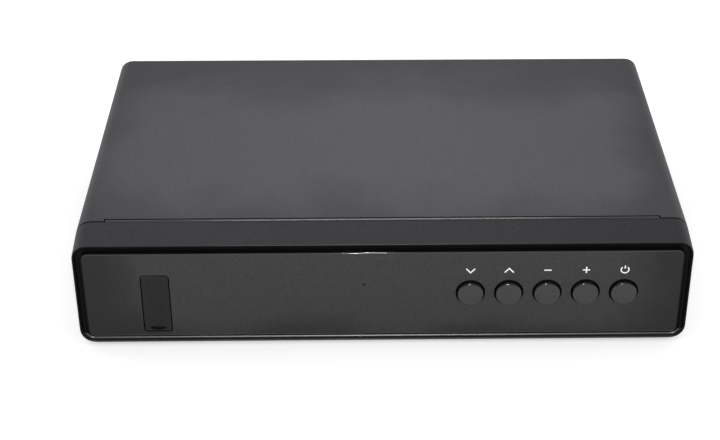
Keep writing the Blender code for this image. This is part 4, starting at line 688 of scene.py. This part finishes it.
class RECEIVER_OT_cover(ReceiverOperator, bpy.types.Operator):
    """Bent sheet cover in textured paint"""

    bl_idname = "receiver.cover"
    bl_label = "Top cover"

    def build(self, sizes, colours, stage):
        low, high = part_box("top_cover")
        half = (high - low) / 2
        # painted light falloff: the paint keeps its tone in the middle, set a little towards the left and
        # the front, and is painted darker towards the edges
        light_falloff_shift = Vector((2.5 * MM, 6 * MM, 0.0))
        haze = {"Centre": (low + high) / 2 - light_falloff_shift, "Half size": (half.x, half.y, 1.0),
                "Rubbed share": 0.6, "Fade": (0.017, 0.03, 0.1)}
        painted = finish("textured_cover_paint", colours, haze=haze)
        shaded = finish("shaded_black_plastic", colours)
        piece = refined("top_cover", "cover_sheet", [painted, shaded], sizes.sheet_edge)
        at, normal = faces_of(piece)
        # painted shade: the sheet's cut front edge gets the dark shaded plastic, as the shadow in the
        # seam's gap
        front_edge = at.y < low.y + 2 * MM
        finish_faces(piece, 1, front_edge & (normal.y < -0.7))


class RECEIVER_OT_bezel(ReceiverOperator, bpy.types.Operator):
    """Moulded front: grained band with a painted light falloff, and a rim and groove mostly in painted
    shade
    """

    bl_idname = "receiver.bezel"
    bl_label = "Front bezel"

    def build(self, sizes, colours, stage):
        low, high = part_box("front_bezel")
        # painted light falloff: the band keeps its raised tone over its left part and is painted darker to
        # the right, so its left end is a painted highlight
        haze = {"Centre": (low.x, 0.0, 0.0), "Half size": (0.38 * (high.x - low.x), 1.0, 1.0),
                "Rubbed share": 0.8, "Fade": (0.05, 0.1, 0.1)}
        grained = finish("grained_bezel_plastic", colours, haze=haze)
        others = finishes(colours, "shaded_black_plastic", "smooth_bezel_plastic", "polished_lip_plastic",
                          "polished_rim_plastic")
        self.dress(refined("front_bezel", "bezel_moulding", [grained, *others]), sizes, low, high)
        mesh = grid_mesh("groove_cove", self.swept(self.cove(sizes), low, high, sizes))
        # the cove has the painted shade's dark tone; along the bottom its upward faces add a glossy sheen
        # to that tone, and its front strip gets the lighter smooth plastic as a lit copy
        plastics = finishes(colours, "shaded_black_plastic", "satin_cove_plastic", "smooth_bezel_plastic")
        cove = place("groove_cove", mesh, plastics, BODY_OF["front_bezel"])
        at, normal = faces_of(cove)
        bottom = at.z < low.z + 5 * MM
        rim_side = at.y < low.y + 0.2 * MM
        finish_faces(cove, 1, bottom & (normal.z > 0.3))
        finish_faces(cove, 2, bottom & rim_side & (normal.y < -0.9))

    def dress(self, piece, sizes, low, high):
        """Gives the zones of the moulding their finishes, and a later zone goes over an earlier one."""
        shaded, smooth, lip, rim = 1, 2, 3, 4
        at, normal = faces_of(piece)
        height = at.z - sizes.front_middle
        # painted shade: the groove's floor and the walls that look inwards, and all that lies behind the
        # plate, get the dark shaded plastic
        groove = at.y < low.y + sizes.groove_depth + 0.1 * MM
        inward = (np.sign(at.x) * normal.x < -0.3) | (height * normal.z < -0.002)
        behind = (np.abs(at.x) < (high.x - low.x) / 2 - 2.5 * MM) & (np.abs(height) < 13.5 * MM)
        finish_faces(piece, shaded, groove & (inward | (normal.y < -0.75)))
        finish_faces(piece, shaded, behind)
        # the lower rim: its front, and the groove's lower wall just behind it, get the lighter smooth
        # plastic, a lit copy beside the painted shade of the rest of the rim
        rim_front = (at.y < low.y + 0.25 * MM) & (at.z < low.z + sizes.rim_width)
        lower_wall = groove & (at.z < low.z + 1 * MM)
        finish_faces(piece, smooth, rim_front & (normal.y < -0.3))
        finish_faces(piece, smooth, lower_wall & (normal.z > 0.7))
        # the lip at the seam, and the step behind it, which gets painted shade as the seam's gap
        seam = low.y + sizes.bezel_depth
        lip_top = (at.y > seam) & (at.y < seam + 1.2 * MM) & (at.z > high.z - 0.3 * MM)
        finish_faces(piece, lip, lip_top & (normal.y < 0.35))
        finish_faces(piece, shaded, (at.y > seam) & (normal.y > 0.35))
        # the rounded upper edge of the front
        upper_edge = (at.y < low.y + 0.6 * MM) & (at.z > high.z - 1.6 * MM)
        finish_faces(piece, rim, upper_edge & (normal.z > 0.3) & (normal.y < -0.12))

    def cove(self, sizes):
        """Section (inset, depth) of the groove's hollow corner: a quarter circle seen from inside."""
        radius = sizes.cove_radius
        inset, depth = sizes.cove_inset, sizes.cove_depth
        skin = 0.05 * MM
        back = sizes.groove_depth + skin
        hollow = arc((inset + radius, depth - radius), radius, 180, 90, 8)
        behind = [(inset + radius, back), (inset - skin, back), (inset - skin, depth - radius)]
        return np.vstack([hollow, behind])

    def swept(self, section, low, high, sizes):
        """The section carried round the front's rounded rectangle, which shrinks by its inset.

        A path point is the corner's centre plus (corner radius - inset) x the corner's direction.
        """
        quarters = [np.linspace(start, start + 90, 9) for start in (0, 90, 180, 270)]
        angle = np.radians(np.concatenate(quarters))
        corner = sizes.corner_radius
        draft = 0.4 * MM
        bottom, top = low.z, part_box("top_cover")[1].z - draft
        half = (high.x - low.x) / 2 - draft - corner
        rise = (top - bottom) / 2 - corner
        past = angle + 1e-9
        reach = corner - section[:, :1]
        points = np.empty((len(section), len(angle), 3))
        points[..., 0] = np.sign(np.cos(past)) * half + reach * np.cos(angle)
        points[..., 1] = low.y + section[:, 1:]
        points[..., 2] = np.sign(np.sin(past)) * rise + (top + bottom) / 2 + reach * np.sin(angle)
        return np.concatenate([points, points[:1]])


class RECEIVER_OT_window(ReceiverOperator, bpy.types.Operator):
    """Smooth plate in the front"""

    bl_idname = "receiver.window"
    bl_label = "Front window"

    def build(self, sizes, colours, stage):
        low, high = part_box("front_window")
        half = (high - low) / 2
        # painted light falloff: the plate keeps its tone over its upper middle and is painted darker
        # towards its ends and its bottom
        light_falloff_rise, light_falloff_spare = 10 * MM, 18 * MM
        haze = {"Centre": (low + high) / 2 + Vector((0.0, 0.0, light_falloff_rise)), "Rubbed share": 0.25,
                "Half size": (half.x, 1.0, half.z + light_falloff_spare), "Fade": (0.024, 0.1, 0.015)}
        glossy = finish("glossy_window_plastic", colours, haze=haze)
        edges = finishes(colours, "shaded_black_plastic", "polished_window_edge")
        piece = refined("front_window", "window_plate", [glossy, *edges])
        at, normal = faces_of(piece)
        ends = (np.abs(at.x) > half.x - 4 * MM) & (np.abs(normal.x) > 0.2)
        # the rounded edges take a polished sheen; then painted shade gives the plate's side walls, its
        # hole walls and its rounded ends the dark shaded plastic
        finish_faces(piece, 2, np.abs(normal.y) < 0.97)
        finish_faces(piece, 1, (np.abs(normal.y) < 0.4) | ends)
        self.make_lens(sizes, colours, low.y)

    def make_lens(self, sizes, colours, face):
        """Smoked lens of the standby light: a low turned dome just inside its hole."""
        eye = middle("standby_light")
        dome = np.array([(0.0, 0.03), (0.5, 0.04), (0.85, 0.09), (1.0, 0.2), (1.0, 1.2), (0.0, 1.2)])
        lens = turned("standby_lens", "front_window", dome * (sizes.lens_radius, MM), (eye.x, face, eye.z),
                      REAR, finishes(colours, "smoked_lens_plastic"), 24)


class RECEIVER_OT_flap(ReceiverOperator, bpy.types.Operator):
    """Door over the USB socket"""

    bl_idname = "receiver.flap"
    bl_label = "USB flap"

    def build(self, sizes, colours, stage):
        refined("usb_flap", "flap_door", finishes(colours, "matt_flap_plastic"), sizes.flap_edge)


class RECEIVER_OT_buttons(ReceiverOperator, bpy.types.Operator):
    """Five round caps with their flanges and plungers"""

    bl_idname = "receiver.buttons"
    bl_label = "Buttons"

    def build(self, sizes, colours, stage):
        plastics = finishes(colours, "satin_button_plastic", "polished_side_plastic")
        for name in BUTTONS:
            node = name + "_button"
            base, depth, flange = seat(node, REAR)
            profile = self.profile(sizes, depth, flange)
            piece = turned(name + "_cap", node, profile, base, REAR, plastics)
            # painted shade: the cap's side, flange and plunger behind the rounded face get the darker side
            # plastic
            finish_faces(piece, 1, faces_of(piece)[0].y > base[1] + sizes.cap_fillet)
            stand_in(node)

    def profile(self, sizes, depth, flange):
        """Half section from the face's centre back to the plunger's end."""
        radius, fillet, plunger = sizes.cap_radius, sizes.cap_fillet, sizes.plunger_radius
        back = depth - sizes.plunger_length
        front = back - sizes.flange_thickness
        tip = 0.2 * MM
        return np.vstack([
            [(0.0, 0.0), (radius * 0.8, 0.0)],
            arc((radius - fillet, fillet), fillet, -90, 0, 8),
            [(radius, front), (flange, front), (flange, back), (plunger, back)],
            [(plunger, depth - tip), (plunger - tip, depth), (0.0, depth)]])


class RECEIVER_OT_symbols(ReceiverOperator, bpy.types.Operator):
    """White print over the buttons: down, up, minus, plus and power"""

    bl_idname = "receiver.symbols"
    bl_label = "Symbols"

    def build(self, sizes, colours, stage):
        ink = finishes(colours, "white_ink")
        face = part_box("front_window")[0].y
        stroke, thickness = sizes.symbol_stroke, sizes.ink_thickness
        for name, lines in self.shapes(sizes, stroke).items():
            centre = middle(name + "_button")
            shift = np.array((centre.x - 0.1 * MM, centre.z + sizes.symbol_raise))
            for number, (kind, points) in enumerate(lines):
                title = "print_" + name + ("_bar" if number else "")
                flat = np.asarray(points, float) + shift
                if kind == "pad":
                    mesh = pad_mesh(title, flat, thickness, face)
                else:
                    mesh = stroke_mesh(title, flat, stroke, thickness, face)
                place(title, mesh, ink, BODY_OF["front_window"])

    def shapes(self, sizes, stroke):
        """Each symbol's strokes and pads round its own middle. The power ring is open at its top."""
        half = sizes.symbol_width / 2 - stroke * 0.35
        rise = (sizes.symbol_height - stroke * 1.2) / 2
        arm, radius = sizes.symbol_arm, sizes.symbol_ring
        ring = np.radians(np.linspace(132, 408, 25))
        circle = np.stack([radius * np.cos(ring), radius * np.sin(ring)], axis=1)
        thin = stroke / 2
        corner = [(thin, arm), (thin, thin), (arm, thin)]
        quarters = ((1, 1, corner), (1, -1, corner[::-1]), (-1, -1, corner), (-1, 1, corner[::-1]))
        cross = [(x * side, y * rising) for side, rising, points in quarters for x, y in points]
        return {
            "channel_down": [("line", [(-half, rise), (0, -rise), (half, rise)])],
            "channel_up": [("line", [(-half, -rise), (0, rise), (half, -rise)])],
            "volume_down": [("line", [(-arm, 0), (arm, 0)])],
            "volume_up": [("pad", cross)],
            "power": [("line", circle), ("line", [(0, radius * 1.25), (0, radius * 0.35)])],
        }


class RECEIVER_OT_dish_sockets(ReceiverOperator, bpy.types.Operator):
    """Two threaded dish sockets with their insulators"""

    bl_idname = "receiver.dish_sockets"
    bl_label = "Dish sockets"

    def build(self, sizes, colours, stage):
        core = np.array([(0.0, 5.2), (0.5, 5.2), (0.5, 0.78), (0.75, 0.55), (3.4, 0.55),
                         (3.78, 0.8), (3.78, 5.8), (0.0, 5.8)]) * MM
        clip = np.array([(0.22, 0.9), (0.48, 0.75), (0.48, 4.6), (0.22, 4.6), (0.22, 0.9)]) * MM
        nickel, white, gold = ([finish(name, colours)] for name in (
            "turned_nickel", "white_insulator_plastic", "gold_contact_strip"))
        for node in ("dish_input_socket", "loop_output_socket"):
            base, depth, flange = seat(node, FRONT)
            name = node.removesuffix("socket")
            barrel = self.barrel(sizes, depth, flange)
            piece = turned(name + "barrel", node, barrel, base, FRONT, nickel)
            stand_in(node)
            body = turned(name + "insulator", node, core, base, FRONT, white)
            turned(name + "contact", node, clip, base, FRONT, gold, 20)

    def barrel(self, sizes, depth, flange):
        """Half section that changes round the ring: the thread's ridge climbs one pitch a turn."""
        collar = depth - 1.0 * MM
        start, stop = sizes.thread_runout, collar - sizes.thread_runout
        turn = np.arange(ROUND_STEPS) / ROUND_STEPS
        along = np.linspace(start, stop, 120)[:, None]
        phase = np.mod(along / sizes.thread_pitch - turn, 1.0)
        flank, crest, stub = 2.6, 0.15, 0.2
        ridge = 1.0 - np.clip(np.abs(phase - 0.5) * flank - crest, 0.0, 1.0)
        fade = np.clip(np.minimum(along - start, stop - along) / sizes.thread_pitch, 0.0, 1.0)
        root = sizes.barrel_radius - sizes.thread_depth
        radius = root + sizes.thread_depth * np.where(fade < 1.0, ridge * fade + (1 - fade) * stub, ridge)
        thread = np.stack([radius, np.broadcast_to(along, radius.shape)], axis=-1)

        def ring(points):
            return np.broadcast_to(np.array(points)[:, None, :], (len(points), ROUND_STEPS, 2))

        inner, recess, bevel = 3.8 * MM, 6.0 * MM, 0.45 * MM
        round_in, chamfer, tip = 0.15 * MM, 0.2 * MM, 0.1 * MM
        front = ring([(0.0, recess), (inner, recess), (inner, chamfer), (inner + round_in, 0.0),
                      (root - bevel, 0.0), (root, bevel)])
        back = ring([(root, collar), (flange - round_in, collar), (flange, collar + round_in),
                     (flange, depth - tip), (flange - tip, depth), (0.0, depth)])
        return np.concatenate([front, thread, back])


class RECEIVER_OT_round_sockets(ReceiverOperator, bpy.types.Operator):
    """Round audio and video sockets: metal sleeves round coloured cores"""

    bl_idname = "receiver.round_sockets"
    bl_label = "Round sockets"

    def build(self, sizes, colours, stage):
        cores = {"av_socket_block": {"video": "yellow", "audio_left": "white", "audio_right": "red"},
                 "digital_audio_block": {"digital_audio": "orange"}}
        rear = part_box("chassis_base")[1].y
        for block, sockets in cores.items():
            tones = [tone + "_core_plastic" for tone in sockets.values()]
            piece = refined(block, block.replace("block", "body"),
                            finishes(colours, "black_housing_plastic", *tones))
            at = faces_of(piece)[0]
            for number, name in enumerate(sockets, 1):
                away = np.abs(at.x - middle(name + "_sleeve").x)
                finish_faces(piece, number, (at.y > rear) & (away < sizes.sleeve_radius))
        nickel = finishes(colours, "turned_nickel")
        for name in [name for sockets in cores.values() for name in sockets]:
            node = name + "_sleeve"
            base, depth, flange = seat(node, FRONT)
            ring = turned(name + "_ring", node, self.profile(sizes, depth, flange), base, FRONT, nickel)
            stand_in(node)

    def profile(self, sizes, depth, flange):
        """Closed section of a thin sleeve with a rolled end and a flange."""
        outer = sizes.sleeve_radius
        inner = outer - sizes.sleeve_wall
        roll = sizes.sleeve_wall / 2
        front = depth - sizes.sleeve_flange
        round_in = 0.1 * MM
        return np.vstack([
            arc((inner + roll, roll), roll, 180, 360, 10),
            [(outer, front), (flange - round_in, front), (flange, front + round_in), (flange, depth),
             (inner, depth), (inner, roll)]])


class RECEIVER_OT_flat_sockets(ReceiverOperator, bpy.types.Operator):
    """Screen socket, USB socket and power inlet, with their contacts"""

    bl_idname = "receiver.flat_sockets"
    bl_label = "Flat sockets"

    def build(self, sizes, colours, stage):
        self.make_screen_socket(sizes, colours)
        self.make_usb_socket(sizes, colours)
        self.make_inlet(colours)

    def make_screen_socket(self, sizes, colours):
        """The shell is black inside, and its contacts lie in turn over and under the tongue."""
        screen = refined("hdmi_socket", "screen_socket_shell",
                         finishes(colours, "drawn_tin_plate", "black_housing_plastic"))
        low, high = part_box("hdmi_socket")
        at = faces_of(screen)[0]
        finish_faces(screen, 1, self.inside(at, low, high, 0.6 * MM) & (at.y < high.y - 0.1 * MM))
        count, row, tongue = 19, 5.2 * MM, 1.4 * MM
        inset, strip = 6.4 * MM, 4.6 * MM
        centre = (low + high) / 2
        xs = np.linspace(-row, row, count) + centre.x - sizes.contact_width / 2
        zs = centre.z + np.where(np.arange(count) % 2, -sizes.contact_skin, tongue)
        corners = np.stack([xs, np.full(count, high.y - inset), zs], axis=1)
        self.make_contacts("screen_socket_contacts", "hdmi_socket", corners,
                           (sizes.contact_width, strip, sizes.contact_skin), colours)

    def make_usb_socket(self, sizes, colours):
        """The shell is white inside, and its four contacts lie on one side of the upright tongue."""
        usb = refined("usb_socket", "usb_socket_shell",
                      finishes(colours, "drawn_tin_plate", "white_insulator_plastic"))
        low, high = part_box("usb_socket")
        at = faces_of(usb)[0]
        finish_faces(usb, 1, self.inside(at, low, high, 0.4 * MM) & (at.y > low.y + 0.5 * MM))
        tongue, width = 0.3 * MM, 1.0 * MM
        inset, strip = 1.4 * MM, 6.5 * MM
        centre = (low + high) / 2
        zs = np.array((-3.5, -1.0, 1.0, 3.5)) * MM + centre.z - width / 2
        side = centre.x - tongue - sizes.contact_skin
        corners = np.stack([np.full(4, side), np.full(4, low.y + inset), zs], axis=1)
        self.make_contacts("usb_socket_contacts", "usb_socket", corners,
                           (sizes.contact_skin, strip, width), colours)

    def make_inlet(self, colours):
        """The inlet's centre pin and the end of its bore are metal."""
        inlet = refined("dc_inlet", "power_inlet_body",
                        finishes(colours, "black_housing_plastic", "turned_nickel"))
        low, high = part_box("dc_inlet")
        at = faces_of(inlet)[0]
        away = np.hypot(at.x - (low.x + high.x) / 2, at.z - (low.z + 6.6 * MM))
        finish_faces(inlet, 1, (away < 1.2 * MM) & (at.y > high.y - 9.0 * MM))

    def make_contacts(self, name, node, corners, size, colours):
        place(name, bars(name, corners, size), finishes(colours, "gold_contact_strip"), BODY_OF[node])

    def inside(self, at, low, high, wall):
        """Faces that lie inside a shell's outer walls, seen along the socket's axis."""
        return ((at.x > low.x + wall) & (at.x < high.x - wall)
                & (at.z > low.z + wall) & (at.z < high.z - wall))


class RECEIVER_OT_chassis(ReceiverOperator, bpy.types.Operator):
    """Zinc plated chassis base and the tuner's tinned can"""

    bl_idname = "receiver.chassis"
    bl_label = "Chassis"

    def build(self, sizes, colours, stage):
        refined("chassis_base", "chassis_sheet", finishes(colours, "zinc_flake_sheet"))
        refined("tuner_can", "tuner_screen", finishes(colours, "drawn_tin_plate"))


class RECEIVER_OT_fasteners(ReceiverOperator, bpy.types.Operator):
    """Screws and rubber feet"""

    bl_idname = "receiver.fasteners"
    bl_label = "Screws and feet"

    def build(self, sizes, colours, stage):
        steel = finishes(colours, "blackened_screw_steel")
        rubber = finishes(colours, "matt_foot_rubber")
        for group, count in (("cover_screw", 4), ("main_board_screw", 4), ("key_board_screw", 2)):
            for number in range(1, count + 1):
                node = "%s_%d" % (group, number)
                refined(node, node + "_head", steel)
        edge = sizes.foot_edge
        for number in range(1, 5):
            node = "foot_%d" % number
            base, height, radius = seat(node, UP)
            profile = np.vstack([[(0.0, 0.0), (radius * 0.5, 0.0)],
                                 arc((radius - edge, edge), edge, -90, 0),
                                 [(radius, height), (0.0, height)]])
            pad = turned("foot_pad_%d" % number, node, profile, base, UP, rubber, 48)
            stand_in(node)


class RECEIVER_OT_electronics(ReceiverOperator, bpy.types.Operator):
    """Boards, switches, lights and parts inside the housing"""

    bl_idname = "receiver.electronics"
    bl_label = "Electronics"

    def build(self, sizes, colours, stage):
        switches = [name + "_switch" for name in BUTTONS]
        stems = [name + "_switch_stem" for name in BUTTONS]
        dressed = {
            "black_housing_plastic": ["main_chip", "memory_chip", "power_inductor", "infrared_receiver",
                                      *stems],
            "drawn_tin_plate": [*switches, "crystal"],
            "white_insulator_plastic": ["key_board_plug", "main_board_plug"],
            "finned_aluminium": ["heat_sink"],
            "pale_cable_film": ["front_board_cable"],
            "shrunk_capacitor_sleeve": ["filter_capacitor_1", "filter_capacitor_2"],
            "red_light_epoxy": ["standby_light"],
        }
        for name, nodes in dressed.items():
            paint(nodes, finish(name, colours))
        board = board_finish("masked_circuit_board", colours.board, colours.copper)
        paint(["main_board", "key_board"], board)


class RECEIVER_OT_stage(ReceiverOperator, bpy.types.Operator):
    """Pale floor, soft light and the camera"""

    bl_idname = "receiver.stage"
    bl_label = "Stage"

    def build(self, sizes, colours, stage):
        scene = bpy.context.scene
        scene.view_settings.view_transform = "Standard"
        self.make_world(scene, stage)
        self.make_floor(stage)
        self.make_lamp("rear_strip", stage.panel_place, stage.panel_target, stage.panel_size,
                       stage.panel_level)
        self.make_lamp("small_lamp", Vector(stage.camera_place) + Vector(stage.lamp_offset),
                       stage.lamp_target, stage.lamp_size, stage.lamp_level)
        data = bpy.data.cameras.new("receiver_camera")
        data.lens = stage.lens
        data.sensor_width = 36.0
        data.shift_x = stage.shift
        data.clip_start = 0.01
        camera = bpy.data.objects.new("receiver_camera", data)
        camera.location = stage.camera_place
        camera.rotation_euler = stage.camera_turn
        scene.collection.objects.link(camera)
        scene.camera = camera

    def make_world(self, scene, stage):
        """A plain pale room: white to the camera and, up to head height, to glossy and clear surfaces.

        Above that, glossy surfaces show a dim ceiling, which is darker overhead and at the camera.
        """
        world = bpy.data.worlds.new("pale_room")
        world.use_nodes = True
        scene.world = world
        tree = world.node_tree
        path = tree.nodes.new("ShaderNodeLightPath").outputs
        direction = axes_of(tree, tree.nodes.new("ShaderNodeTexCoord").outputs["Generated"])
        height = spread(tree, direction["Z"], 0.02, 0.3)
        overhead = spread(tree, direction["Z"], 0.55, 0.85)
        raised = spread(tree, direction["Z"], 0.15, 0.4)
        ahead = spread(tree, direction["Y"], -0.25, 0.1, 1.0, 0.0)
        shade = maths(tree, "MAXIMUM", overhead, maths(tree, "MULTIPLY", raised, ahead))
        ceiling = blend_value(tree, shade, stage.ceiling_level, stage.shade_level)
        shown = blend_value(tree, height, 1.0, ceiling)
        room = blend_value(tree, path["Is Glossy Ray"], stage.room_level, shown)
        seen = maths(tree, "MAXIMUM", path["Is Camera Ray"], path["Is Transmission Ray"])
        sky = tree.nodes["Background"]
        sky.inputs["Color"].default_value = WHITE
        drive(tree, sky, {"Strength": blend_value(tree, seen, room, 1.0)})

    def make_floor(self, stage):
        """Round floor: rings of a disc, radius times the cosine and sine of the angle."""
        rings = np.array([(0.0, 0.0), (0.5, 0.0), (4.0, 0.0)])
        floor = bpy.data.objects.new("floor", grid_mesh("floor", around(rings, (0.0, 0.0, 0.0), UP, 48)))
        bpy.context.scene.collection.objects.link(floor)
        material, tree, shader, place_of = new_finish("floor_card", {"Roughness": 0.7, "IOR": 1.3})
        tone = stage.floor_tone
        cloudy = use(tree, "cloudy_tone", {"Vector": place_of, "Tone": (tone, tone, tone, 1.0),
                                           "Deeper tone": (tone * 0.995, tone * 0.995, tone * 0.99, 1.0),
                                           "Scale": 4.0})
        path = tree.nodes.new("ShaderNodeLightPath")
        away = add(tree, "VectorMath", {"operation": "LENGTH"}, {0: place_of}).outputs["Value"]
        near, far = 0.1, 0.22
        lift = spread(tree, away, near, far, stage.floor_lift * stage.shadow_share, stage.floor_lift)
        seen = maths(tree, "MULTIPLY", path.outputs["Is Camera Ray"], lift)
        shader.inputs["Emission Color"].default_value = WHITE
        drive(tree, shader, {"Base Color": cloudy.outputs["Colour"], "Emission Strength": seen})
        floor.data.materials.append(material)

    def make_lamp(self, name, place_at, target, size, level):
        """A rectangular lamp, turned to its target. Its face has this brightness, where 1 is white."""
        data = bpy.data.lights.new(name, "AREA")
        data.shape = "RECTANGLE"
        data.size, data.size_y = size
        data.energy = level * data.size * data.size_y * math.pi
        lamp = bpy.data.objects.new(name, data)
        lamp.location = place_at
        lamp.rotation_euler = (Vector(target) - lamp.location).to_track_quat("-Z", "Y").to_euler()
        lamp.visible_camera = False
        bpy.context.scene.collection.objects.link(lamp)


class RECEIVER_PT_panel(bpy.types.Panel):
    """Lists the receiver's operators and settings"""

    bl_idname = "RECEIVER_PT_panel"
    bl_label = "Satellite receiver"
    bl_space_type = "VIEW_3D"
    bl_region_type = "UI"
    bl_category = "Receiver"

    def draw(self, context):
        layout = self.layout
        for operator in OPERATORS:
            layout.operator(operator.bl_idname)
        for name in GROUPS:
            group = getattr(context.scene, name)
            box = layout.box()
            for setting in group.__annotations__:
                box.prop(group, setting)


OPERATORS = (RECEIVER_OT_stage, RECEIVER_OT_cover, RECEIVER_OT_bezel, RECEIVER_OT_window,
             RECEIVER_OT_flap, RECEIVER_OT_buttons, RECEIVER_OT_symbols, RECEIVER_OT_dish_sockets,
             RECEIVER_OT_round_sockets, RECEIVER_OT_flat_sockets, RECEIVER_OT_chassis,
             RECEIVER_OT_fasteners, RECEIVER_OT_electronics)
GROUPS = {"receiver_sizes": ReceiverSizes, "receiver_colours": ReceiverColours,
          "receiver_stage": ReceiverStage}
CLASSES = (*GROUPS.values(), *OPERATORS, RECEIVER_PT_panel)


def register():
    for item in CLASSES:
        bpy.utils.register_class(item)
    for name, group in GROUPS.items():
        setattr(bpy.types.Scene, name, PointerProperty(type=group))


def unregister():
    for name in GROUPS:
        delattr(bpy.types.Scene, name)
    for item in reversed(CLASSES):
        bpy.utils.unregister_class(item)


def main():
    register()
    bpy.ops.receiver.stage()
    bpy.ops.receiver.cover()
    bpy.ops.receiver.bezel()
    bpy.ops.receiver.window()
    bpy.ops.receiver.flap()
    bpy.ops.receiver.buttons()
    bpy.ops.receiver.symbols()
    bpy.ops.receiver.dish_sockets()
    bpy.ops.receiver.round_sockets()
    bpy.ops.receiver.flat_sockets()
    bpy.ops.receiver.chassis()
    bpy.ops.receiver.fasteners()
    bpy.ops.receiver.electronics()


if __name__ == "__main__":
    main()
